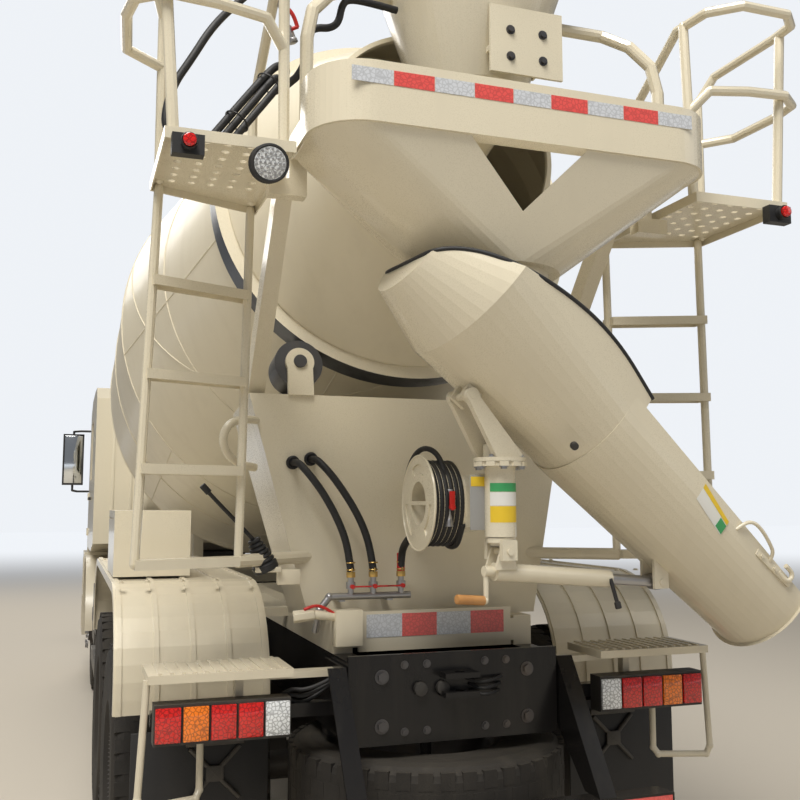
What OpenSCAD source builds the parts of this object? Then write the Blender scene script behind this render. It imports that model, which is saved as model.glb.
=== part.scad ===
// Concrete mixer truck, six by four, with a swinging discharge chute at the rear.
// +Y is the driving direction, +X is the right-hand side and the wheels stand on Z = 0.
// The origin lies on the ground under the middle of the vehicle.

/* [Chassis] */
// Front axle back from the bumper's face
front_overhang = 1500; // [1450:10:1600]
// Front axle to first rear axle
wheelbase = 4025; // [4000:25:4300]
// Spacing of the two rear axles
tandem = 1350; // [1300:10:1400]
// Last axle to the rear end of the chassis frame
rear_overhang = 1080; // [1060:10:1160]
// How far the hopper guard stands out behind the chassis frame
hopper_overhang = 760; // [740:10:800]
// Width over the two frame rails
frame_w = 860; // [840:10:880]
// Height of a frame rail
rail_h = 300; // [270:10:300]
// Width of a frame rail's flanges
rail_flange = 80; // [70:5:90]
// Plate thickness of a frame rail
rail_t = 8; // [6:1:10]
// Height of the frame's top above the ground
frame_top = 1170; // [1160:5:1190]

/* [Wheels] */
// Outer diameter of a tyre
tyre_d = 1125; // [1100:5:1130]
// Width of a tyre
tyre_w = 300; // [280:5:310]
// Diameter over the rim flanges
rim_d = 570; // [560:5:580]
// Distance between the front tyres' middles
track_front = 2020; // [2000:5:2040]
// Distance between the middles of the rear twin wheels
track_rear = 1830; // [1820:5:1840]
// Distance between the two tyres of a twin wheel
twin_gap = 345; // [335:5:350]
// Radius of the spindle that carries a wheel
spindle_r = 58; // [50:1:62]
// From a front tyre's middle in to its kingpin
kingpin_inset = 160; // [155:5:170]
// Radius of a kingpin
kingpin_r = 26; // [22:1:30]

/* [Drum] */
// Tilt of the drum's axis
drum_tilt = 12; // [11.5:0.5:12.5]
// Radius of the drum's widest part
drum_r = 1165; // [1140:5:1170]
// Thickness of the drum's wall
drum_t = 8; // [6:1:12]
// Radius of the drum's mouth
mouth_r = 500; // [480:5:510]
// Outer radius of the roller ring
ring_r = 870; // [860:2:880]
// Radial thickness of the roller ring
ring_t = 55; // [45:1:60]
// Width of the roller ring
ring_w = 120; // [100:5:130]
// Height of the roller ring's centre above the ground
ring_z = 3150; // [3140:5:3160]
// Radius of a support roller
roller_r = 105; // [95:1:115]
// Sideways place of a support roller
roller_x = 515; // [500:5:530]
// Radius of a support roller's axle
roller_pin_r = 28; // [22:1:32]

/* [Rear pedestal] */
// Half width of the rear panel at its top edge
panel_top_half = 734; // [720:2:750]
// Half width of the rear panel at its foot
panel_foot_half = 490; // [470:5:520]
// Height of the panel's top edge above the ground
panel_top_z = 2215; // [2200:5:2220]
// Height of the sub-frame rails
sub_h = 120; // [110:5:125]
// Plate thickness of the pedestal
panel_t = 12; // [8:1:16]

/* [Hopper and platforms] */
// Half width of the hopper guard
guard_half = 665; // [650:5:680]
// Height of the hopper guard's lower edge above the ground
guard_z = 2950; // [2940:5:2970]
// Height of the hopper guard's band
guard_h = 200; // [180:5:215]
// How far the service platforms lie below the hopper guard's lower edge
platform_drop = 30; // [20:5:50]
// Inner edge of a service platform from the middle
platform_in = 770; // [760:5:780]
// Outer edge of a service platform from the middle
platform_out = 1190; // [1170:5:1200]
// Radius of the handrail tubes
handrail_r = 19; // [16:1:22]

/* [Chute] */
// Heading of the parked chute, ahead of straight right
chute_heading = 8; // [0:1:8]
// Slope of the parked chute
chute_slope = 37.5; // [37:0.5:38]
// Length of the chute from its lift pin to the tip
chute_l = 1560; // [1500:10:1600]
// Half width of the chute at its widest, under the hopper
chute_top_r = 320; // [300:5:330]
// Half width of the chute where the lower section starts
chute_mid_r = 250; // [240:5:260]
// Half width of the chute at its tip
chute_tip_r = 215; // [205:5:225]
// Sheet thickness of the chute
chute_t = 5; // [4:1:8]
// Radius of the fixed tube round the chute's post
post_r = 55; // [50:1:60]
// Radius of the turning post
post_shaft_r = 38; // [34:1:40]
// Radius of the jack's outer tube
jack_r = 32; // [28:1:34]
// Radius of the jack's rod
jack_rod_r = 20; // [16:1:21]

/* [Cab] */
// Width of the cab
cab_w = 2400; // [2360:10:2440]
// Length of the cab
cab_l = 2200; // [2150:10:2230]
// Height of the roof above the ground
roof_z = 2860; // [2840:10:2900]
// Wall thickness of the cab, and of its doors
cab_wall = 55; // [45:5:60]
// Height of the door sill above the ground
sill_z = 1300; // [1290:5:1310]
// Height of the window line above the ground
belt_z = 1960; // [1940:10:1980]

/* [Hidden] */
$fn = 48;
run_gap = 0.08;           // clearance round a turning pin
seam = 8;                 // visible joint between separate panels
overall_l = front_overhang + wheelbase + tandem + rear_overhang + hopper_overhang;
rear_y = -overall_l / 2;
front_y = overall_l / 2;
tail_y = rear_y + hopper_overhang;
axle3_y = tail_y + rear_overhang;
axle2_y = axle3_y + tandem;
bogie_y = axle3_y + tandem / 2;
axle1_y = axle2_y + wheelbase;
axle_z = tyre_d / 2;
frame_bottom = frame_top - rail_h;
sub_top = frame_top + sub_h;
kingpin_span = track_front - 2 * kingpin_inset;
platform_z = guard_z - platform_drop;

cream = [0.90, 0.86, 0.75];
black = [0.10, 0.10, 0.11];
steel = [0.62, 0.63, 0.65];
rubber = [0.07, 0.07, 0.07];
red = [0.75, 0.10, 0.08];

// Places along the vehicle of the parts that stand on the sub-frame
ring_y = tail_y + 720;
panel_foot_y = tail_y + 310;
panel_lean = 8;
panel_top_y = panel_foot_y + (panel_top_z - sub_top) * tan(panel_lean);
pedestal_depth = 560;
function panel_y(z) = panel_foot_y + (z - sub_top) * tan(panel_lean);
cab_rear_y = front_y - cab_l - 40;
post_y = tail_y - 437;

// Drum outline: [distance forward of the ring, outer radius]
mouth_t = -620;
drum_band = 75;
drum_end_t = wheelbase - 5;
head_t = drum_end_t - 240;
drum_outline = [
  [mouth_t, mouth_r], [-drum_band, ring_r - ring_t], [drum_band, ring_r - ring_t],
  [1600, drum_r], [head_t - 830, drum_r], [head_t, 700], [head_t + 120, 560], [head_t + 180, 260],
  [drum_end_t, 260]];

// Disc wheels: how far the disc stands out, its bore and its flat face
disc_dish = 110;
disc_bore_r = 140;
disc_flat_r = 190;

// Chute post and jack heights
post_foot_z = 1640;
post_flange_z = 1900;
lift_pin_x = -150;
lift_pin_z = 2125;
jack_pin_z = 1590;
jack_axis_drop = 70;
jack_lug_u = 690;

// Helpers

module both_sides() {
  children();
  mirror([1, 0, 0]) children();
}

// A round bar from one point to another
module bar(p, q, r) {
  v = q - p;
  translate(p) rotate([0, acos(v.z / norm(v)), atan2(v.y, v.x)]) cylinder(h = norm(v), r = r);
}

// A round-ended bar with few facets, and a chain of them
module limb(p, q, r) {
  hull() {
    translate(p) sphere(r = r, $fn = 10);
    translate(q) sphere(r = r, $fn = 10);
  }
}

module limbs(points, r) {
  for (i = [0 : len(points) - 2]) limb(points[i], points[i + 1], r);
}

// A bent tube through a list of points, each bend slightly proud
module bent_tube(points, r) {
  for (i = [0 : len(points) - 2]) bar(points[i], points[i + 1], r);
  for (i = [1 : len(points) - 2]) translate(points[i]) sphere(r = r * 1.15);
}

// A box given by its lowest corner and its highest corner
module span(low, high) {
  translate(low) cube(high - low);
}

// A cylinder along X between two places
module x_bar(x0, x1, y, z, r) {
  translate([x0, y, z]) rotate([0, 90, 0]) cylinder(h = x1 - x0, r = r);
}

// A profile drawn in Y and Z, drawn out along X
module side_profile(x0, x1) {
  translate([x0, 0, 0]) rotate([90, 0, 90]) linear_extrude(x1 - x0) children();
}

// Drum frame: +Z runs forward along its axis from the roller ring's centre
module in_drum_frame() {
  translate([0, ring_y, ring_z]) rotate([-90 - drum_tilt, 0, 0]) children();
}

// Chute frame: +X runs outward over the parked heading from the post's axis
module in_chute_frame() {
  translate([0, post_y, 0]) rotate([0, 0, chute_heading]) children();
}

function arc(cx, cy, r, a0, a1, n) =
  [for (i = [0 : n]) [cx + r * cos(a0 + (a1 - a0) * i / n), cy + r * sin(a0 + (a1 - a0) * i / n)]];

// Chassis

module chassis_frame() {
  rail_front_y = front_y - 330;
  // Cross members: [place along the frame, length along Y]
  cross = [[tail_y + 8, 16], [tail_y + 640, 90], [bogie_y - 45, 90],
    [axle2_y + 900, 90], [axle2_y + 1900, 90], [axle1_y - 1430, 90], [rail_front_y - 60, 60]];
  color(black) {
    both_sides() difference() {
      span([frame_w / 2 - rail_flange, tail_y, frame_bottom],
        [frame_w / 2, rail_front_y, frame_top]);
      span([frame_w / 2 - rail_flange - 1, tail_y - 1, frame_bottom + rail_t],
        [frame_w / 2 - rail_t, rail_front_y + 1, frame_top - rail_t]);
    }
    for (c = cross)
      span([-frame_w / 2 + rail_t, c[0] - 8, frame_bottom + rail_t],
        [frame_w / 2 - rail_t, c[0] - 8 + c[1], frame_top - rail_t]);
    // Towing plate and its two ears at the rear
    difference() {
      span([-frame_w / 2, tail_y - 20, frame_bottom - 10], [frame_w / 2, tail_y, frame_top + 20]);
      for (x = [-300, 300], z = [frame_bottom + 60, frame_top - 60])
        translate([x, tail_y + 30, z]) rotate([90, 0, 0]) cylinder(h = 60, r = 14);
    }
    for (z = [frame_top - 130, frame_top - 60]) difference() {
      span([-70, tail_y - 90, z - 10], [70, tail_y - 20, z + 10]);
      translate([0, tail_y - 55, z - 20]) cylinder(h = 40, r = 18);
    }
  }
}

guard_foot_y = -330;
guard_bar_z = 685;
guard_bar_h = 120;
lamp_arm_z = frame_bottom + 120;

module underrun_guard() {
  leg_x = frame_w / 2 + 6;
  bar_half = 745;
  color(black) {
    both_sides() {
      // Leaning leg, bolted to the frame's side and to the lower bar
      side_profile(leg_x, leg_x + 12)
        polygon([[tail_y + 260, frame_top - 20], [tail_y - 10, frame_top - 20],
          [tail_y + guard_foot_y, guard_bar_z], [tail_y + guard_foot_y + 110, guard_bar_z]]);
      side_profile(leg_x, leg_x + 70)
        polygon([[tail_y, frame_top - 20], [tail_y - 10, frame_top - 20],
          [tail_y + guard_foot_y, guard_bar_z], [tail_y + guard_foot_y + 10, guard_bar_z]]);
      // Arm that carries the tail lamp and the step
      span([leg_x, tail_y + 80, lamp_arm_z - 25], [1130, tail_y + 130, lamp_arm_z + 25]);
      span([frame_w / 2, tail_y + 80, lamp_arm_z - 60], [leg_x, tail_y + 130, lamp_arm_z + 60]);
    }
    span([-bar_half, tail_y + guard_foot_y - 10, guard_bar_z - guard_bar_h],
      [bar_half, tail_y + guard_foot_y + 80, guard_bar_z]);
    // Hanger of the spare wheel: cross bar, rod and clamp plate
    span([-frame_w / 2, spare_y - 40, frame_bottom - 30], [frame_w / 2, spare_y + 40, frame_bottom]);
    translate([0, spare_y, spare_z - spare_face - 20]) cylinder(h = frame_bottom - spare_z + spare_face, r = 22);
    translate([0, spare_y, spare_z - spare_face - 14]) cylinder(h = 14, r = 110);
  }
}

lamp_low = [640, 0, 915];
lamp_high = [1125, 80, 1055];

module tail_lamps() {
  color(red) both_sides() difference() {
    translate([0, tail_y, 0]) span(lamp_low, lamp_high);
    // Five steps in the face mark the lamp's fields
    for (i = [1 : 4])
      translate([lamp_low.x + i * (lamp_high.x - lamp_low.x) / 5 - 2, tail_y - 1, lamp_low.z + 8])
        cube([4, 7, lamp_high.z - lamp_low.z - 16]);
  }
}

step_z = 1160;
step_t = 30;

module rear_steps() {
  color(cream) both_sides() {
    // Tread plate with raised ridges over the tail lamp
    difference() {
      span([635, tail_y - 20, step_z - step_t], [1150, tail_y + 260, step_z]);
      span([640, tail_y - 15, step_z - step_t - 1], [1145, tail_y + 255, step_z - 4]);
    }
    for (x = [660 : 40 : 1120])
      span([x, tail_y - 10, step_z - 1], [x + 14, tail_y + 250, step_z + 6]);
    // Arm to the frame
    span([frame_w / 2 + 18, tail_y + 90, step_z - step_t - 25], [700, tail_y + 150, step_z - step_t]);
    // Stay that stands on the lamp arm
    span([800, tail_y + 85, lamp_arm_z + 25], [830, tail_y + 125, step_z - step_t]);
    // Hanging foot loop below the lamp
    bent_tube([[1150, tail_y + 20, step_z - 20], [1172, tail_y + 20, 740], [1160, tail_y + 30, 705],
      [965, tail_y + 90, 705], [950, tail_y + 105, 730], [950, tail_y + 105, lamp_arm_z - 25]], 13);
  }
}

spring_x = frame_w / 2 + 40;
spring_w = 80;

module leaf_springs() {
  color(black) both_sides() {
    // Rear bogie: a stack of leaves that gets shorter upwards, on a trunnion
    translate([spring_x - spring_w / 2, bogie_y, 0])
      side_profile(0, spring_w) leaf_pack(tandem - 60, 9, 110, axle_z + 110, 40, 18);
    x_bar(frame_w / 2 + 2, spring_x + 60, bogie_y, axle_z + 60, 70);
    side_profile(frame_w / 2, frame_w / 2 + 14)
      polygon([[bogie_y - 220, frame_bottom + 220], [bogie_y + 220, frame_bottom + 220],
        [bogie_y + 90, axle_z - 20], [bogie_y - 90, axle_z - 20]]);
    // Front springs under the rails
    translate([frame_w / 2 - spring_w, axle1_y, 0])
      side_profile(0, spring_w - 6) leaf_pack(1500, 5, 220, axle_z + 112, 90, 16);
    for (s = [-1, 1])
      span([frame_w / 2 - spring_w, axle1_y + s * 740 - 30, axle_z + 190],
        [frame_w / 2 - 6, axle1_y + s * 740 + 30, frame_bottom]);
  }
}

// A stack of bowed leaves seen from the side, each shorter than the one below
module leaf_pack(length, leaves, shorter, base, rise, t) {
  r = (length * length / 4 + rise * rise) / (2 * rise);
  for (i = [0 : leaves - 1]) {
    a = asin((length - i * shorter) / 2 / r);
    outer = r - i * t;
    polygon(concat(arc(0, base + r, outer, -90 - a, -90 + a, 10),
      arc(0, base + r, outer - t - 0.5, -90 + a, -90 - a, 10)));
  }
}

module front_axle() {
  boss_h = 120;
  color(black) {
    difference() {
      union() {
        span([-kingpin_span / 2 + 60, axle1_y - 55, axle_z - 60],
          [kingpin_span / 2 - 60, axle1_y + 55, axle_z + 20]);
        both_sides() translate([kingpin_span / 2, axle1_y, axle_z - boss_h / 2])
          cylinder(h = boss_h, r = kingpin_r + 30);
        both_sides() span([kingpin_span / 2 - 120, axle1_y - 45, axle_z - 55],
          [kingpin_span / 2, axle1_y + 45, axle_z + 45]);
        // Spring seats
        both_sides() span([frame_w / 2 - spring_w - 6, axle1_y - 70, axle_z + 10],
          [frame_w / 2, axle1_y + 70, axle_z + 112]);
      }
      both_sides() translate([kingpin_span / 2, axle1_y, axle_z - boss_h])
        cylinder(h = 2 * boss_h, r = kingpin_r + run_gap);
    }
  }
}

module knuckle() {
  // Right-hand steering knuckle: kingpin with two ears, spindle and steering arm
  boss_h = 120;
  ear_t = 34;
  spindle_end = track_front / 2 + 20;
  color(black) {
    translate([kingpin_span / 2, axle1_y, axle_z - boss_h / 2 - ear_t - 3])
      cylinder(h = boss_h + 2 * ear_t + 6, r = kingpin_r);
    for (s = [-1, 1])
      translate([kingpin_span / 2, axle1_y, axle_z + s * (boss_h / 2 + ear_t / 2 + 3)])
        cylinder(h = ear_t, r = kingpin_r + 26, center = true);
    span([kingpin_span / 2 + 20, axle1_y - 45, axle_z - boss_h / 2 - ear_t - 3],
      [kingpin_span / 2 + 62, axle1_y + 45, axle_z - boss_h / 2 - 3]);
    span([kingpin_span / 2 + 20, axle1_y - 45, axle_z + boss_h / 2 + 3],
      [kingpin_span / 2 + 62, axle1_y + 45, axle_z + boss_h / 2 + ear_t + 3]);
    // Flange that joins the ears outboard of the beam's boss
    x_bar(kingpin_span / 2 + kingpin_r + 34, kingpin_span / 2 + kingpin_r + 50, axle1_y, axle_z, 150);
    x_bar(kingpin_span / 2 + kingpin_r + 40, spindle_end, axle1_y, axle_z, spindle_r);
    // Steering arm
    span([kingpin_span / 2 - 14, axle1_y - 250, axle_z - boss_h / 2 - ear_t - 3],
      [kingpin_span / 2 + 14, axle1_y, axle_z - boss_h / 2 - 10]);
  }
}

// Drive flanges of the rear axles: height over the axle, reach ahead of it and behind it
flange_lift = 30;
flange_reach = 290;
flange_back = 250;

module rear_axles() {
  spindle_end = track_rear / 2 + 150;
  tube_end = track_rear / 2 - 275;
  bowl_r = 195;
  // Half of the axle's outline: [radius, place along the axle]
  half = [[spindle_r, spindle_end], [spindle_r, tube_end], [85, tube_end], [85, 562], [190, 562], [190, 542],
    [85, 542], [85, 300], [bowl_r, 130]];
  color(black) for (y = [axle3_y, axle2_y]) translate([0, y, axle_z]) {
    rotate([0, 90, 0]) rotate_extrude($fn = 96) polygon(concat([[0, spindle_end]], half,
      [for (i = [len(half) - 1 : -1 : 0]) [half[i][0], -half[i][1]]], [[0, -spindle_end]]));
    // Input flange of the final drive, and the through drive's flange on the axle ahead
    translate([0, 0, flange_lift]) rotate([-90, 0, 0]) cylinder(h = flange_reach, r = 90);
    if (y == axle2_y) translate([0, 0, flange_lift]) rotate([90, 0, 0]) cylinder(h = flange_back, r = 80);
    // Seats for the springs' ends
    both_sides() span([spring_x - spring_w / 2, -60, 40], [spring_x + spring_w / 2, 60, 146]);
  }
}

module driveline() {
  shaft_z = axle_z + flange_lift;
  engine_rear = front_y - 1500;
  engine_half = frame_w / 2 - 110;
  color([0.25, 0.26, 0.27]) {
    // Engine as one block, clutch housing and gearbox behind it
    span([-engine_half, engine_rear, 700], [engine_half, front_y - 520, sill_z - 20]);
    translate([0, engine_rear, 900]) rotate([90, 0, 0]) cylinder(h = 260, r = 250);
    span([-200, engine_rear - 900, 760], [200, engine_rear - 250, 1080]);
    // Radiator
    span([-330, front_y - 460, 720], [330, front_y - 400, sill_z - 20]);
    both_sides() span([200, front_y - 470, frame_bottom + rail_t], [frame_w / 2 - rail_t, front_y - 440, 930]);
    // Engine feet
    both_sides() for (y = [front_y - 700, engine_rear + 150])
      span([engine_half - 20, y, 880], [frame_w / 2 - rail_t, y + 80, 900]);
    // Propeller shafts
    bar([0, engine_rear - 890, 860], [0, axle2_y + flange_reach + 5, shaft_z], 55);
    bar([0, axle2_y - flange_back, shaft_z], [0, axle3_y + flange_reach, shaft_z], 50);
  }
}

module fuel_tank() {
  tank_front = axle1_y - 900;
  color(steel) {
    difference() {
      side_tank_body([frame_w / 2 + 60, tank_front - 1100, 560], [1190, tank_front, 1080], 60);
      translate([1000, tank_front - 150, 1081]) cylinder(h = 2, r = 30);
    }
    translate([1000, tank_front - 150, 1075]) cylinder(h = 40, r = 55);
    for (y = [tank_front - 300, tank_front - 860]) {
      span([frame_w / 2, y, frame_bottom - 60], [frame_w / 2 + 62, y + 60, frame_bottom + 200]);
      difference() {
        side_tank_body([frame_w / 2 + 54, y, 554], [1196, y + 60, 1086], 64);
        side_tank_body([frame_w / 2 + 61, y - 1, 561], [1189, y + 61, 1079], 60);
      }
    }
  }
}

// A box along Y with rounded long edges
module side_tank_body(low, high, r) {
  translate([0, high.y, 0]) rotate([90, 0, 0]) linear_extrude(high.y - low.y)
    union() {
      translate([low.x, low.z + r]) square([high.x - low.x, high.z - low.z - 2 * r]);
      translate([low.x + r, low.z]) square([high.x - low.x - 2 * r, high.z - low.z]);
      for (x = [low.x + r, high.x - r], z = [low.z + r, high.z - r]) translate([x, z]) circle(r = r);
    }
}

module side_gear() {
  box_front = axle1_y - 900;
  color(black) {
    // Battery box on the left, with two air bottles behind it
    span([-1180, box_front - 620, 600], [-frame_w / 2 - 40, box_front, 1060]);
    for (y = [box_front - 100, box_front - 560])
      span([-frame_w / 2 - 42, y, frame_bottom], [-frame_w / 2, y + 60, frame_bottom + 160]);
    for (z = [740, 980]) {
      translate([-1040, box_front - 700, z]) rotate([90, 0, 0]) cylinder(h = 700, r = 110);
      for (y = [box_front - 820, box_front - 1300])
        span([-1040, y, z - 12], [-frame_w / 2 - 30, y + 40, z + 12]);
    }
    for (y = [box_front - 820, box_front - 1300])
      span([-frame_w / 2 - 40, y, 700], [-frame_w / 2, y + 40, frame_top - 60]);
    // Silencer across the frame's right side, behind the front wheel
    translate([700, axle1_y - 780, 760]) rotate([0, 90, 0]) cylinder(h = 420, r = 90);
    span([frame_w / 2, axle1_y - 810, 740], [702, axle1_y - 750, 960]);
    // Side guard rails ahead of the rear wheels
    both_sides() {
      for (z = [620, 900]) span([1195, axle2_y + 760, z], [1225, axle2_y + 1740, z + 90]);
      for (step = [800, 1200, 1640]) {
        y = axle2_y + step;
        span([1170, y, 560], [1195, y + 50, 1000]);
        span([frame_w / 2, y, frame_top - 90], [1170, y + 50, frame_top - 40]);
        span([1145, y, 990], [1170, y + 50, frame_top - 40]);
      }
    }
  }
}

mudguard_z = 1425;
mudguard_in = 640;
mudguard_out = 1245;
mudguard_rear = 380;
mudguard_r = 420;

// Side outline of the rear mudguard, grown outward by e
function mudguard_line(e) = let (
  y0 = tail_y + mudguard_rear - e,
  y1 = axle2_y + (axle3_y - tail_y - mudguard_rear) + e,
  r = mudguard_r + e,
  z1 = mudguard_z + e)
  concat([[y0, 950]], arc(y0 + r, z1 - r, r, 180, 90, 10), arc(y1 - r, z1 - r, r, 90, 0, 10), [[y1, 950]]);

module mudguards() {
  t = 8;
  rib_n = 4;
  inner = mudguard_line(-t);
  outer = mudguard_line(0);
  rib = mudguard_line(7);
  lip = mudguard_line(-40);
  color(cream) both_sides() {
    side_profile(mudguard_in, mudguard_out)
      polygon(concat(outer, [for (i = [len(inner) - 1 : -1 : 0]) inner[i]]));
    // Raised ribs round the guard
    for (i = [0 : rib_n])
      side_profile(mudguard_in + 10 + i * (mudguard_out - mudguard_in - 40) / rib_n,
        mudguard_in + 30 + i * (mudguard_out - mudguard_in - 40) / rib_n)
        polygon(concat(rib, [for (i = [len(inner) - 1 : -1 : 0]) inner[i]]));
    // Outer lip
    side_profile(mudguard_out - 6, mudguard_out)
      polygon(concat(outer, [for (i = [len(inner) - 1 : -1 : 0]) lip[i]]));
    // Brackets from the sub-frame
    for (y = [axle3_y - 60, bogie_y - 30, axle2_y]) {
      span([frame_w / 2, y, sub_top - 60], [mudguard_in + 100, y + 60, sub_top - 20]);
      span([mudguard_in + 40, y, sub_top - 20], [mudguard_in + 100, y + 60, mudguard_z - t]);
    }
  }
}

fender_r = 690;

module front_fenders() {
  t = 10;
  step_front = front_y - 270;
  step_rear = axle1_y + fender_r - 4;
  color(cream) both_sides() {
    // Arch over the front wheel
    intersection() {
      side_profile(740, 1240) difference() {
        translate([axle1_y, axle_z]) circle(r = fender_r + t, $fn = 128);
        translate([axle1_y, axle_z]) circle(r = fender_r, $fn = 128);
      }
      span([700, axle1_y - 1000, axle_z + 60], [1300, axle1_y + 1000, sill_z]);
    }
    // Step box ahead of the wheel, open on its outer side
    difference() {
      span([880, step_rear, 420], [1240, step_front, sill_z - 40]);
      for (z = [460, 860])
        span([1010, step_rear + 40, z], [1241, step_front - 40, z + 340]);
    }
    // Brackets to the frame
    span([frame_w / 2, step_front - 120, 900], [882, step_front - 60, 980]);
    span([frame_w / 2, axle1_y - 700, 1100], [742, axle1_y - 650, 1150]);
    span([720, axle1_y - 700, 800], [745, axle1_y - 600, 1150]);
  }
}

bumper_top = 780;

// Pin that the cab tilts on
tilt_pin = [0, front_y - 99, 870];
tilt_pin_r = 15;

module bumper() {
  color(cream) difference() {
    union() {
      span([-1100, front_y - 240, 440], [1100, front_y, bumper_top]);
      both_sides() intersection() {
        translate([1100, front_y - 240, 440]) cylinder(h = bumper_top - 440, r = 140);
        span([1100, front_y - 240, 440], [1240, front_y, bumper_top]);
      }
      both_sides() span([1100, front_y - 250, 440], [1240, front_y - 238, bumper_top]);
    }
    span([-1040, front_y - 250, 430], [1040, front_y - 60, bumper_top - 20]);
    // Air intake slots
    for (z = [500, 560, 620]) span([-480, front_y - 70, z], [480, front_y + 1, z + 34]);
    // Recess for each head lamp
    both_sides() span([700, front_y - 55, 560], [1010, front_y + 1, 740]);
  }
  color(cream) both_sides() difference() {
    union() {
      // Bracket with the tilt hinge's boss, and the bumper's stay behind it
      span([frame_w / 2 - 60, front_y - 330, 880], [frame_w / 2, tilt_pin.y + 2, 940]);
      x_bar(frame_w / 2 - 60, frame_w / 2, tilt_pin.y, tilt_pin.z, tilt_pin_r + 9);
      span([frame_w / 2 - 60, front_y - 175, bumper_top - 20], [frame_w / 2 - 10, front_y - 137, 881]);
    }
    x_bar(frame_w / 2 - 61, frame_w / 2 + 1, tilt_pin.y, tilt_pin.z, tilt_pin_r + run_gap);
  }
}

module head_lamps() {
  color([0.9, 0.92, 0.95]) both_sides() {
    difference() {
      span([704, front_y - 55, 564], [1006, front_y - 6, 736]);
      translate([790, front_y, 650]) rotate([90, 0, 0]) cylinder(h = 20, r = 62);
      translate([925, front_y, 650]) rotate([90, 0, 0]) cylinder(h = 20, r = 62);
    }
  }
}

// Sub-frame and pedestals

stand_y = tail_y + drum_end_t + 770;
stand_top = ring_z - (drum_end_t + 160) * sin(drum_tilt) - 330;

module subframe() {
  sub_front = stand_y + 180;
  color(cream) {
    both_sides() span([frame_w / 2 - rail_flange, tail_y + 200, frame_top],
      [frame_w / 2, sub_front, sub_top]);
    for (y = [tail_y + 200, tail_y + 900, tail_y + 2300, tail_y + 3600, sub_front - 80])
      span([-frame_w / 2 + 10, y, frame_top + 20], [frame_w / 2 - 10, y + 60, sub_top - 10]);
    // Rear end plate, wider than the frame
    span([-330, tail_y + 186, frame_top + 4], [330, tail_y + 200, sub_top + 40]);
    // Front stand under the drum's drive: four legs and a table
    both_sides() for (y = [stand_y - 150, stand_y + 90])
      span([frame_w / 2 - rail_flange, y, sub_top], [frame_w / 2, y + 60, stand_top - 20]);
    both_sides() span([frame_w / 2 - rail_flange, stand_y - 150, sub_top + 250],
      [frame_w / 2 - 20, stand_y + 150, sub_top + 300]);
    span([-frame_w / 2, stand_y - 170, stand_top - 20],
      [frame_w / 2, stand_y + 170, stand_top]);
  }
}

// Trapezoid of the rear panel with its edges moved inward by e
function panel_outline(e) = let (h = panel_top_z - sub_top)
  [[-panel_foot_half + e, -40], [panel_foot_half - e, -40],
  [panel_top_half - e, h / cos(panel_lean)], [-panel_top_half + e, h / cos(panel_lean)]];

// The pedestal's outer block
module pedestal_block() {
  intersection() {
    translate([0, panel_foot_y, sub_top]) rotate([90 - panel_lean, 0, 0]) mirror([0, 0, 1])
      linear_extrude(pedestal_depth) polygon(panel_outline(0));
    span([-900, tail_y, sub_top], [900, tail_y + 2000, panel_top_z]);
  }
}

module rear_pedestal() {
  top_y = panel_top_y;
  color(cream) {
    difference() {
      pedestal_block();
      // Hollow inside, open to the front
      translate([0, panel_foot_y, sub_top]) rotate([90 - panel_lean, 0, 0]) mirror([0, 0, 1])
        translate([0, 0, panel_t]) linear_extrude(pedestal_depth) polygon(panel_outline(panel_t));
      // The side plates slope back from the top to the foot
      side_profile(-900, 900) polygon([[panel_foot_y + 330, sub_top - 1],
        [top_y + 420, panel_top_z + 1], [top_y + 1200, panel_top_z + 1], [top_y + 1200, sub_top - 1]]);
      // Room round the drum
      in_drum_frame() drum_room(35);
    }
    // Top beam that carries the rollers, lowered in the middle under the drum
    difference() {
      span([-panel_top_half + 40, top_y + 4, panel_top_z - 160], [panel_top_half - 40, top_y + 230, panel_top_z]);
      in_drum_frame() drum_room(35);
    }
    // Foot beam that spreads the load on the sub-frame
    span([-panel_foot_half + 10, panel_foot_y + 10, sub_top], [panel_foot_half - 10, panel_foot_y + 300, sub_top + 60]);
    // Roller brackets: two ears on each side with the axle's bore
    both_sides() roller_bracket();
  }
}

// Where a roller's centre lies, from the ring's own geometry
roller_drop = sqrt(pow(ring_r + roller_r + 0.3, 2) - roller_x * roller_x);
roller_y = ring_y - roller_drop * sin(drum_tilt);
roller_z = ring_z - roller_drop * cos(drum_tilt);

module roller_bracket() {
  ear_t = 20;
  half = ring_w / 2 + 14;
  translate([roller_x, roller_y, roller_z]) rotate([-90 - drum_tilt, 0, 0])
    difference() {
      for (s = [-1, 1]) translate([0, 0, s * (half + ear_t / 2)]) {
        cylinder(h = ear_t, r = 62, center = true);
        translate([-55, 0, -ear_t / 2]) cube([110, 150, ear_t]);
      }
      translate([0, 0, -200]) cylinder(h = 400, r = roller_pin_r + run_gap);
    }
}

// The drum's outline as a solid, grown outward by e, ring included
module drum_room(e) {
  rotate_extrude($fn = 96) polygon(concat([[0, mouth_t - 20]],
    [for (p = drum_outline) [p[1] + e, p[0]]], [[0, drum_end_t]]));
  translate([0, 0, -ring_w / 2 - e]) cylinder(h = ring_w + 2 * e, r = ring_r + e, $fn = 96);
}

module drum_drive() {
  // Reduction gearbox and hydraulic motor in line with the drum
  color(steel) {
    in_drum_frame() {
      translate([0, 0, drum_end_t + 6]) cylinder(h = 90, r = 210);
      translate([0, 0, drum_end_t + 90]) cylinder(h = 230, r = 165);
      translate([0, 0, drum_end_t + 310]) cylinder(h = 150, r = 90);
    }
    span([-160, stand_y - 130, stand_top], [160, stand_y + 120, stand_top + 240]);
  }
}

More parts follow.
